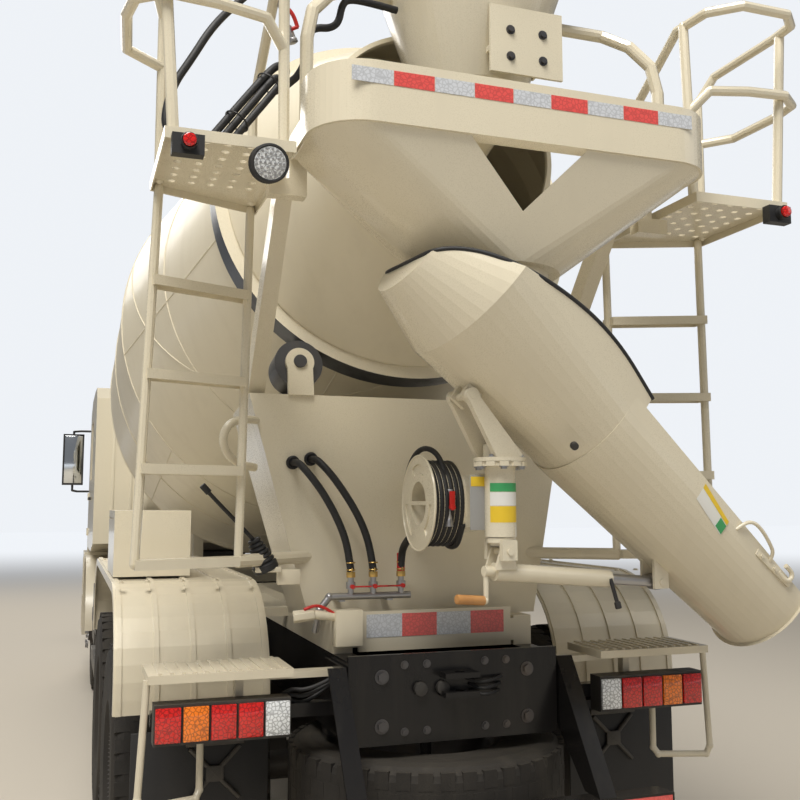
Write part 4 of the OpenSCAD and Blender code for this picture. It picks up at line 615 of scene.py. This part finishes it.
def tape_row(mats, name, x0, length, count, y, heights, proud=0.0015, gap=0.002):
    """A row of reflective blocks on a face to the rear, silver first and then red by turns."""
    pitch = length / count
    for first, colour in ((0, "silver"), (1, "red")):
        blocks = [block((x0 + i * pitch, y - proud, heights[0]),
                        (x0 + (i + 1) * pitch - gap, y + 0.001, heights[1])) for i in range(first, count, 2)]
        settle(join(blocks), name + colour, mats["tape_" + colour], "chassis")


def make_tapes(mats):
    """Reflective blocks along the hopper guard, on the sub-frame's end and on the lower bar."""
    tape_row(mats, "guard_tape_", -0.642, 1.255, 9, REAR_Y, (3.072, 3.121))
    tape_row(mats, "plate_", -0.2975, 0.595, 4, TAIL_Y + 0.186, (1.228, 1.318), proud=0.002, gap=0)
    tape_row(mats, "bar_tape_", -0.738, 1.476, 6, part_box("underrun_guard")[0][1], (0.625, 0.677))


def make_tail_lenses(mats):
    """Five lens fields on each tail lamp: clear at the inner end, then red, red, amber and red."""
    low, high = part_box("tail_lamps")
    order = ("lens_clear", "lens_red", "lens_red", "lens_amber", "lens_red")
    inner, rim, joint = 0.640, 0.010, 0.004
    field = (high[0] - inner) / len(order)
    for kind in ("lens_clear", "lens_red", "lens_amber"):
        parts = []
        for side in (-1, 1):
            for i, name in enumerate(order):
                if name == kind:
                    start = inner + i * field
                    xs = sorted((side * (start + joint), side * (start + field - joint)))
                    parts.append(block((xs[0], TAIL_Y - rim, low[2] + rim),
                                       (xs[1], TAIL_Y + 0.006, high[2] - rim), 0.004))
        settle(join(parts), "tail_" + kind, mats[kind], "chassis")


# Tyre tread

def make_tread(mats):
    """Block tread on every tyre: four rows of lugs, each row staggered against the next."""
    lug_count, half_length, half_height = 44, 0.026, 0.010
    step = 2 * math.pi / lug_count
    # Each row's place across the tyre, its lugs' width, and its shift in lugs
    rows = ((-0.105, 0.062, 0), (-0.034, 0.056, 0.5), (0.034, 0.056, 0), (0.105, 0.062, 0.5))

    def lugs(centre, axis, name, body):
        """One lug a row, spun round the wheel's axis."""
        axis, out = Vector(axis), Vector((0, 1, 0))
        along = axis.cross(out)
        made = []
        for offset, width, phase in rows:
            place = centre + axis * offset + out * (TYRE_R - 0.009)
            half = Vector([abs(axis[k]) * width / 2 + abs(along[k]) * half_length + out[k] * half_height
                           for k in range(3)])
            lug = turned(block(place - half, place + half), phase * step, axis, centre)
            pick(lug)
            edit_mesh(bpy.ops.mesh.spin, "SELECT", steps=lug_count - 1, dupli=True,
                      angle=step * (lug_count - 1), center=centre, axis=axis)
            made.append(lug)
        settle(join(made), name, mats["tyre"], body)

    for name in WHEELS:
        low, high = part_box(name)
        side = -1 if low[0] + high[0] < 0 else 1
        twins = (("_tread_in", 0.7425), ("_tread_out", 1.0875))
        for tag, x in (("_tread", 1.010),) if "front" in name else twins:
            lugs(Vector((side * x, (low[1] + high[1]) / 2, AXLE_Z)), (1, 0, 0), name + tag, name)
    low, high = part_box("spare_wheel")
    lugs(Vector([(a + b) / 2 for a, b in zip(low, high)]), (0, 0, 1), "spare_tread", "chassis")


# Drum seams

# The drum's surface: place forward of the roller ring, radius
DRUM_OUTLINE = ((-0.620, 0.500), (-0.075, 0.815), (0.075, 0.815), (1.600, 1.165), (2.950, 1.165),
                (3.780, 0.700))


def drum_radius(t):
    for (t0, r0), (t1, r1) in zip(DRUM_OUTLINE, DRUM_OUTLINE[1:]):
        if t <= t1:
            return r0 + (r1 - r0) * (t - t0) / (t1 - t0)
    return DRUM_OUTLINE[-1][1]


def make_drum_seams(mats):
    """Weld beads: two long spirals over the blades, joints between the plates, and rings at the bends."""
    bead, spiral_steps, seam_steps, sectors = 0.0045, 140, 10, 6
    # The spirals run from just ahead of the ring to the front cone, with this twist in radians
    first, span, twist = 0.10, 3.62, 4.6
    beads = []
    for start in (0.0, math.pi):
        points = []
        for share in [i / spiral_steps for i in range(spiral_steps + 1)]:
            t = first + span * share
            points.append(drum_point(t, drum_radius(t), start + twist * share))
        beads.append(tube(points, bead, 2))
    for k in range(sectors):
        angle = 2 * math.pi * k / sectors + 0.35
        for t0, t1, shift in ((0.09, 1.60, 0.0), (1.60, 2.95, 0.5), (2.95, 3.76, 0.25)):
            stations = [t0 + (t1 - t0) * i / seam_steps for i in range(seam_steps + 1)]
            seam = [drum_point(t, drum_radius(t), angle + shift) for t in stations]
            beads.append(tube(seam, bead * 0.8, 2, smooth=False))
    forward = drum_point(1, 0, 0) - drum_point(0, 0, 0)
    for t in (0.86, 1.60, 2.27, 2.95):
        beads.append(ring(drum_point(t, 0, 0), forward, drum_radius(t), bead, 96, 6))
    settle(join(beads), "drum_seams", mats["drum_paint"], "drum")


# Water equipment

HOSE_ROUTES = (
    ((-556, 392.5, 1925), (-548, 340, 1925), (-535, 305, 1905), (-505, 280, 1865), (-460, 262, 1800),
     (-415, 250, 1720), (-380, 240, 1640), (-360, 230, 1560), (-352, 225, 1485.5)),
    ((-480, 397, 1940), (-472, 345, 1940), (-458, 308, 1920), (-425, 283, 1880), (-380, 264, 1815),
     (-330, 252, 1735), (-290, 240, 1650), (-266, 230, 1560), (-258, 225, 1485.5)),
    ((-140, 225, 1485.5), (-140, 222, 1530), (-144, 180, 1590), (-150, 90, 1620)))
RISER_X = (-352, -258, -140)
MANIFOLD_Y = 225
# The reel's axis, as y and z, and half its hose
REEL_AXIS = (-119, 1757)
WASH_HOSE = 0.0105


def make_water_equipment(mats):
    """Smooth hoses with clamps, the manifold's cocks, and the reel's wound hose and spray gun."""
    hoses = [tube([at(*p) for p in route], 0.0152, 5) for route in HOSE_ROUTES]
    piece = settle(join(hoses), "rubber_hoses", mats["rubber"], "chassis", 60)
    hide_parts("water_hoses")
    # Grommets where the hoses leave the panel
    grommets = [ring(at(x, 391, z), (0, 1, 0.14), 0.021, 0.008) for x, z in ((-556, 1925), (-480, 1941))]
    settle(join(grommets), "hose_grommets", mats["rubber"], "chassis")
    clamps = []
    for x in RISER_X:
        for z in (1492, 1520):
            clamps.append(ring(at(x, MANIFOLD_Y, z), (0, 0, 1), 0.0165, 0.0028, 28, 6))
        clamps.append(rod(at(x, MANIFOLD_Y - 17, 1486), at(x + 1, MANIFOLD_Y - 17, 1500), 0.0035, 8))
        clamps.append(rod(at(x, MANIFOLD_Y, 1462), at(x, MANIFOLD_Y, 1484), 0.019, 6, 0.0015))
    settle(join(clamps), "hose_clamps", mats["brass"], "chassis")
    levers = []
    for x, reach in zip(RISER_X, (78, 72, -70)):
        low, high = sorted((x, x + reach))
        levers.append(block(at(low, MANIFOLD_Y - 36, 1424), at(high, MANIFOLD_Y - 22, 1430), 0.0022))
        levers.append(rod(at(x, MANIFOLD_Y - 34, 1427), at(x, MANIFOLD_Y - 12, 1427), 0.009, 12, 0.001))
    levers.append(rod(at(-140, MANIFOLD_Y, 1484), at(-140, MANIFOLD_Y, 1556), 0.0165, 16, 0.002))
    # A cranked lever at the manifold's left end, by the square box's top
    levers.append(tube([at(-560, 150, 1350), at(-520, 150, 1368), at(-470, 150, 1352), at(-440, 150, 1330)],
                       0.006))
    settle(join(levers), "cock_levers", mats["red_paint"], "chassis")
    box = [block(at(-440, 120, 1205), at(-330, 184, 1345), 0.006),
           rod(at(-520, 155, 1330), at(-438, 155, 1318), 0.018, 20, 0.002),
           rod(at(-600, 158, 1322), at(-520, 155, 1330), 0.024, 6, 0.002)]
    settle(join(box), "drain_box", mats["paint"], "chassis")
    # Six outer turns, with five inner ones in the gaps between them
    wound = [ring(at(x, *REEL_AXIS), (1, 0, 0), radius, WASH_HOSE, 64, sides)
             for first, count, radius, sides in ((-174, 6, 0.1515, 10), (-164, 5, 0.134, 8))
             for x in range(first, first + 20 * count, 20)]
    wound.append(tube([at(-120, -260, 1800), at(-122, -215, 1880), at(-128, -150, 1950), at(-150, -60, 1972),
                       at(-160, 40, 1930), at(-158, 120, 1830), at(-150, 150, 1720), at(-150, 90, 1622)],
                      WASH_HOSE))
    # The lowest turn hangs a little off the drum
    wound.append(tube([at(-70, -40, 1630), at(-66, -90, 1598), at(-62, -150, 1592), at(-64, -210, 1612),
                       at(-70, -262, 1680)], WASH_HOSE))
    settle(join(wound), "wound_hose", mats["rubber"], "chassis", 60)
    rim = ring(at(-189, *REEL_AXIS), (1, 0, 0), 0.177, 0.0045, 96, 8)
    settle(rim, "reel_rolled_rim", mats["paint"], "chassis")
    gun = [rod(at(-122, -262, 1700), at(-122, -262, 1790), 0.012, 20, 0.002),
           rod(at(-122, -262, 1780), at(-120, -260, 1806), 0.017, 6, 0.0015),
           rod(at(-122, -262, 1672), at(-122, -262, 1702), 0.016, 20, 0.002, 0.011),
           rod(at(-122, -262, 1742), at(-122, -288, 1742), 0.008, 12, 0.001)]
    settle(join(gun), "spray_gun", mats["steel"], "chassis")
    settle(join([block(at(-132, -296, 1738), at(-112, -286, 1800), 0.002),
                 rod(at(-122, -300, 1742), at(-122, -284, 1742), 0.011, 12, 0.001)]),
           "spray_gun_lever", mats["red_paint"], "chassis")


def make_labels(mats):
    """Blank plates and labels where the real ones are."""
    plate(-107, -418, 1663, 0.086, 0.190, mats["grey_plate"], "grey_plate")
    plate(-104, -420.2, 1815, 0.080, 0.034, mats["yellow"], "grey_plate_strip", thick=0.0008)
    bracket = block(at(-100, -418, 1690), at(-50, -412, 1720), 0.001)
    settle(bracket, "grey_plate_bracket", mats["paint"], "chassis")
    # Curved labels round the fixed tube of the post
    for name, z0, z1, mat in (("post_label_green", 1796, 1826, "green"),
                              ("post_label_white", 1748, 1794, "white"),
                              ("post_label_yellow", 1690, 1746, "yellow")):
        bare()
        bpy.ops.mesh.primitive_cylinder_add(vertices=96, radius=0.0556, depth=(z1 - z0) / 1000,
                                            end_fill_type="NOTHING", location=at(0, POST_BACK, (z0 + z1) / 2))
        label = bpy.context.object
        bpy.ops.object.transform_apply(location=True)
        edit_mesh(bpy.ops.mesh.select_all, action="DESELECT")
        facing = Vector((0.05, -1.0)).normalized()
        for face in label.data.polygons:
            away = Vector((face.center.x, face.center.y - POST_Y)).normalized()
            face.select = away.dot(facing) < 0.42
        edit_mesh(bpy.ops.mesh.delete, type="FACE")
        thicken(label)
        settle(label, name, mats[mat], "chassis")
    # A blank notice on the trough's outer side: a white sheet with a yellow edge and a green field
    # It starts at the top, and its lower edge and its width taper down the slope with the trough
    top, length = 0.878, 0.175
    for name, start, k0, k1, lift, mat in (("chute_notice", 0, 0.0, 1.0, 0.0015, "white"),
                                           ("chute_notice_edge", 0, 0.72, 1.0, 0.0025, "yellow"),
                                           ("chute_notice_field", 0.134, 0.06, 0.66, 0.0025, "green")):
        bare()
        bpy.ops.mesh.primitive_grid_add(x_subdivisions=8, y_subdivisions=8, size=1)
        sheet = bpy.context.object
        for vertex in sheet.data.vertices:
            down = start + (length - start) * (vertex.co.x + 0.5)
            slip = down / length
            k = k0 + (k1 - k0) * (vertex.co.y + 0.5)
            edge, width = 0.229 - 0.031 * slip, 0.070 - 0.010 * slip
            height = edge + width * k
            vertex.co = chute_point(top + down, -trough_half(top + down, height) - lift, height)
        thicken(sheet)
        settle(sheet, name, mats[mat], "chute")


# Fastenings

def circle(radius, count, first):
    """Steps from a centre to places evenly round it, the first at an angle in degrees."""
    angles = [math.radians(first + 360 * i / count) for i in range(count)]
    return [Vector((radius * math.cos(a), radius * math.sin(a), 0)) for a in angles]


def make_fastenings(mats):
    """Bolt heads on the hopper plate, rear cross member, post and mudguards."""
    rear, up, down = (0, -1, 0), (0, 0, 1), (0, 0, -1)
    dark = [bolt_heads([at(x, -506, z) for x in (30, 160) for z in (3370, 3470)], rear, 0.012, 0.012),
            bolt_heads([at(x, -20, z) for x in (-300, 300) for z in (930, 1110)], rear, 0.019, 0.016),
            bolt_heads([at(x, -20, z) for x in (-210, -120, 120, 210) for z in (905, 1150)], rear)]
    settle(join(dark), "dark_bolts", mats["dark_steel"], "chassis")
    flange = [at(0, POST_BACK, 1883.5) + step for step in circle(0.080, 6, 15)]
    settle(bolt_heads(flange, down, 0.011, 0.010), "post_flange_bolts", mats["steel"], "chassis")
    swivel = [at(0, POST_BACK, 1915) + step for step in circle(0.079, 4, 45)]
    settle(bolt_heads(swivel, up, 0.010, 0.009), "post_head_bolts", mats["steel"], "chute_post")
    places = [at(x, y, 1432.5) for x in (690, 830, 970, 1110, 1215) for y in (620, 1500, 2400)]
    settle(bolt_heads(mirrored(places), up, 0.010, 0.008), "mudguard_bolts", mats["paint"], "chassis")


def make_wheel_nuts(mats):
    """Ten nuts on every wheel, on the front disc's face or down in the rear one's dish."""
    count, circle_radius = 10, 0.165
    for name in WHEELS:
        low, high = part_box(name)
        side = -1 if low[0] + high[0] < 0 else 1
        face = high[0] if side > 0 else -low[0]
        sunk = 0.0 if "front" in name else 0.158
        places = []
        for i in range(count):
            angle = 2 * math.pi * (i + 0.5) / count
            places.append((side * (face - sunk), (low[1] + high[1]) / 2 + circle_radius * math.cos(angle),
                           AXLE_Z + circle_radius * math.sin(angle)))
        settle(bolt_heads(places, (side, 0, 0), 0.016, 0.026), name + "_nuts", mats["steel"], name)


# Controls and hoses at the left

def make_left_controls(mats):
    """Hand lever with its bellows and bracket, and the bent grab tube."""
    base, tip = at(-700, 230, 1520), at(-742, 225, 1612)
    folds = 7
    shares = [i / (folds - 1) for i in range(folds)]
    bellows = [ring(base.lerp(tip, k), tip - base, 0.043 - 0.024 * k, 0.008, 28, 8) for k in shares]
    bellows.append(rod(base, tip, 0.040, 24, 0, 0.014))
    bellows.append(rod(base - (tip - base) * 0.25, base, 0.050, 24, 0.003))
    settle(join(bellows), "lever_bellows", mats["rubber"], "chassis")
    lever = [tube([tip, at(-800, 220, 1672), at(-880, 215, 1752), at(-938, 210, 1812)], 0.008),
             rod(at(-922, 211, 1796), at(-950, 209, 1826), 0.013, 20, 0.003)]
    settle(join(lever), "hand_lever", mats["rubber"], "chassis")
    foot = [block(at(-740, 190, 1490), at(-640, 270, 1512), 0.004),
            block(at(-650, 215, 1440), at(-560, 245, 1500), 0.004)]
    settle(join(foot), "lever_bracket", mats["paint"], "chassis")
    grab = tube([at(-700, 460, 1905), at(-760, 430, 1912), at(-800, 380, 1925), at(-850, 340, 1975),
                 at(-856, 330, 2035), at(-820, 335, 2085), at(-745, 380, 2100), at(-700, 440, 2100)], 0.017)
    settle(grab, "grab_tube", mats["paint"], "chassis")


def make_filler_hoses(mats):
    """The hoses that run up to the hopper from the left platform, with the filler's elbow and valve."""
    hose = 0.0140
    delivery = tube([at(-1130, -322, 2974), at(-1156, -330, 2990), at(-1171, -330, 3033),
                     at(-1164, -320, 3094), at(-1138, -300, 3188), at(-1086, -270, 3284),
                     at(-1004, -230, 3449), at(-899, -180, 3588), at(-770, -160, 3735),
                     at(-620, -180, 3850), at(-500, -196, 3895), at(-418, -200, 3900)], hose)
    settle(delivery, "delivery_hose", mats["rubber"], "chassis", 60)
    # A hose folded over at the top, with a third strand between its legs, in two clips
    foot, head = at(-1000, -290, 2974), at(-772, -236, 3300)
    middle = foot.lerp(head, 0.5)
    along = (head - foot).normalized()
    across = along.cross(Vector((0, -1, 0))).normalized()
    if across.x < 0:
        across = -across
    strands = [[foot - across * 0.030, middle - across * 0.030, head - across * 0.026,
                head + along * 0.040 - across * 0.012, head + along * 0.046 + across * 0.014,
                head + across * 0.032, middle + across * 0.030, foot + across * 0.030],
               [foot, middle, head - along * 0.030, head - along * 0.010 + across * 0.010,
                head - along * 0.020 + across * 0.050, at(-722, -240, 3276), at(-700, -270, 3290),
                at(-684, -300, 3330)]]
    bundle = [tube(strand, hose) for strand in strands]
    bundle += [ring(foot.lerp(head, k), along, 0.0455, 0.0032, 28, 6) for k in (0.35, 0.86)]
    settle(join(bundle), "hose_bundle", mats["rubber"], "chassis", 60)
    elbow = tube([at(-684, -300, 3320), at(-680, -300, 3387), at(-673, -300, 3440), at(-645, -300, 3466),
                  at(-593, -300, 3471), at(-560, -300, 3500), at(-549, -300, 3570), at(-520, -296, 3600),
                  at(-422, -280, 3606), at(-325, -262, 3606)], 0.0135)
    settle(elbow, "filler_elbow", mats["rubber"], "chassis", 60)
    clamps = [ring(at(-679, -300, z), (0, 0, 1), 0.0150, 0.0034, 28, 6) for z in (3372, 3392)]
    settle(join(clamps), "elbow_clamps", mats["steel"], "chassis")
    valve = [tube([at(-788, -300, 3560), at(-768, -300, 3490), at(-746, -300, 3440)], 0.0085),
             rod(at(-750, -300, 3450), at(-731, -300, 3402), 0.0150, 20, 0.002),
             rod(at(-733, -300, 3408), at(-727, -300, 3394), 0.0190, 6, 0.002)]
    settle(join(valve), "filler_valve", mats["steel"], "chassis")
    cock = [tube([at(-718, -318, 3446), at(-728, -322, 3474), at(-744, -322, 3500), at(-757, -320, 3510)],
                 0.0075),
            rod(at(-738, -318, 3436), at(-716, -318, 3448), 0.0070, 12, 0.001)]
    settle(join(cock), "filler_cock", mats["red_paint"], "chassis")


# Lamps

def make_lamps(mats):
    """Marker lamps on the platforms, the round work lamp, head lamps and their rims."""
    red, chrome = [], []
    for side in (-1, 1):
        centre = at(side * 1120, -626, 2864)
        red.append(rod(centre, centre + Vector((0, -0.014, 0)), 0.021, 32, 0.004))
        chrome.append(ring(centre, (0, 1, 0), 0.024, 0.003, 36, 8))
    settle(join(red), "marker_lenses", mats["lens_red"], "chassis")
    lean = math.radians(105)
    axis = Vector((0, -math.sin(lean), math.cos(lean)))
    lamp = at(-870, -582, 2832) + axis * 0.050
    lens = rod(lamp, lamp + axis * 0.004, 0.052, 40, 0.002)
    settle(lens, "work_lamp_lens", mats["lens_clear"], "chassis")
    dots = []
    across = Vector((1, 0, 0))
    up = axis.cross(across)
    for radius, count in ((0.0, 1), (0.016, 6), (0.031, 12), (0.044, 17)):
        for i in range(count):
            angle = 2 * math.pi * i / count
            place = lamp + (across * math.cos(angle) + up * math.sin(angle)) * radius
            dots.append(rod(place, place + axis * 0.007, 0.0055, 12, 0.001, 0.0035))
    settle(join(dots), "work_lamp_diodes", mats["steel"], "chassis")
    chrome.append(ring(lamp, axis, 0.0555, 0.0060, 48, 8))
    fins = [ring(lamp - axis * d, axis, 0.0600, 0.0022, 40, 6) for d in (0.012, 0.022, 0.032, 0.042)]
    settle(join(chrome + fins), "lamp_rims", mats["plastic"], "chassis")
    heads = []
    for side in (-1, 1):
        for x in (0.790, 0.925):
            place = Vector((side * x, FRONT_Y - 0.026, 0.650))
            heads.append(rod(place, place + Vector((0, 0.012, 0)), 0.060, 40, 0.006, 0.048))
    settle(join(heads), "head_lenses", mats["lens_clear"], "chassis")


# Mud flaps and the lower rear

def make_lower_rear(mats):
    """Rubber flaps behind the wheels with their crossed stays, air lines and sockets at the cross member."""
    flaps, stays = [], []
    for side in (-1, 1):
        x0, x1 = sorted((side * 660, side * 1180))
        flaps.append(block(at(x0, 300, 380), at(x1, 308, 900), 0.003))
        # The stays cross on the flap, with a bar above and a plate at their middle
        cx = side * 868
        for dx in (-1, 1):
            stays.append(tube([at(cx - dx * 95, 292, 640), at(cx, 288, 735), at(cx + dx * 95, 292, 830)],
                              0.009, smooth=False))
        stays.append(block(at(cx - 110, 284, 838), at(cx + 110, 296, 862), 0.003))
        stays.append(block(at(cx - 34, 280, 705), at(cx + 34, 294, 765), 0.004))
    settle(join(flaps), "mud_flaps", mats["rubber"], "chassis")
    settle(join(stays), "flap_stays", mats["plastic"], "chassis")
    lines = []
    for k in range(3):
        lines.append(tube([at(40 + 14 * k, -24, 1090 - 22 * k), at(70, -60 - 8 * k, 1075 - 22 * k),
                           at(140, -62 - 8 * k, 1082 - 22 * k), at(190 - 8 * k, -24, 1090 - 26 * k)], 0.006))
        lines.append(tube([at(-470, 40 + 30 * k, 1110 - 18 * k), at(-560, 60 + 20 * k, 1060 - 30 * k),
                           at(-640, 90 + 10 * k, 1075 - 20 * k), at(-700, 82, 1010)], 0.0075))
    settle(join(lines), "air_lines", mats["rubber"], "chassis", 60)
    sockets = [rod(at(x, -20, 1060), at(x, -44, 1060), 0.026, 24, 0.003) for x in (-150, -60)]
    settle(join(sockets), "trailer_sockets", mats["plastic"], "chassis")


# Chute fittings

def make_chute_fittings(mats):
    """Grab loop and hook near the tip, a knob under the scoop, and the jack's grip and lock lever."""
    loop = ((1.105, -0.229, 0.262), (1.112, -0.246, 0.300), (1.140, -0.256, 0.322), (1.190, -0.258, 0.320),
            (1.250, -0.252, 0.308), (1.300, -0.244, 0.292), (1.310, -0.224, 0.262))
    hook = ((1.370, -0.226, 0.262), (1.405, -0.230, 0.252), (1.428, -0.232, 0.262), (1.436, -0.232, 0.284),
            (1.420, -0.232, 0.302), (1.384, -0.232, 0.300))
    grips = [tube([chute_point(*p) for p in places], radius)
             for places, radius in ((loop, 0.007), (hook, 0.009))]
    strip = on_chute(block((1.235, -0.231, 0.244), (1.445, -0.220, 0.270), 0.002))
    bolts = on_chute(bolt_heads([(1.262, -0.231, 0.257), (1.345, -0.231, 0.257)], (0, -1, 0), 0.009, 0.008))
    settle(join(grips + [strip, bolts]), "chute_grips", mats["paint"], "chute")
    knob = rod(chute_point(0.36, -0.196, 0.062), chute_point(0.36, -0.214, 0.052), 0.014, 24, 0.003)
    settle(knob, "chute_knob", mats["plastic"], "chute")
    # The crank's wooden grip, and the black locking lever at the jack's upper end
    grip = rod(jack_point(-0.070, 0, 1.4233), jack_point(-0.181, 0, 1.4323), 0.0165, 28, 0.004)
    settle(grip, "crank_grip", mats["wood"], "jack_tube")
    lever = [rod(jack_point(0.455, -0.030, 1.482), jack_point(0.472, -0.046, 1.392), 0.0075, 16, 0.002),
             rod(jack_point(0.471, -0.045, 1.400), jack_point(0.475, -0.049, 1.374), 0.0120, 20, 0.004)]
    settle(join(lever), "jack_lock_lever", mats["plastic"], "jack_tube")


# Cab

def make_cab_trim(mats):
    """Mirror glass, ribs on the rear wall, door grips and grille bars."""
    low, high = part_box("cab_shell")
    half, rear = high[0], low[1]
    glass = [block((side * 1.38 - 0.092, FRONT_Y - 0.2405, 1.99),
                   (side * 1.38 + 0.092, FRONT_Y - 0.2335, 2.51), 0.002) for side in (-1, 1)]
    settle(join(glass), "mirror_glass", mats["mirror"], "cab")
    ribs = [block((x - 0.012, rear - 0.010, 1.42), (x + 0.012, rear + 0.002, 2.58), 0.003)
            for x in (-1.04, -0.88, -0.72, 0.72, 0.88, 1.04)]
    settle(join(ribs), "cab_rear_ribs", mats["paint"], "cab")
    for side in (-1, 1):
        body = "door_left" if side < 0 else "door_right"
        y = FRONT_Y - 1.30
        x0, x1 = sorted((side * (half + 0.004), side * (half + 0.030)))
        grip = block((x0, y, 1.80), (x1, y + 0.16, 1.83), 0.006)
        settle(grip, body + "_grip", mats["plastic"], body)
    bars = [block((-0.74, FRONT_Y - 0.045, z), (0.74, FRONT_Y - 0.030, z + 0.012), 0.003)
            for z in (0.952 + 0.070 * i for i in range(6))]
    settle(join(bars), "grille_bars", mats["plastic"], "cab")


make_camera()
make_stage()
MATS = make_materials()
dress_nodes(MATS)
for make in (make_chute_edge, make_tapes, make_tail_lenses, make_tread, make_drum_seams, make_water_equipment,
             make_labels, make_fastenings, make_wheel_nuts, make_left_controls, make_filler_hoses, make_lamps,
             make_lower_rear, make_chute_fittings, make_cab_trim):
    make(MATS)
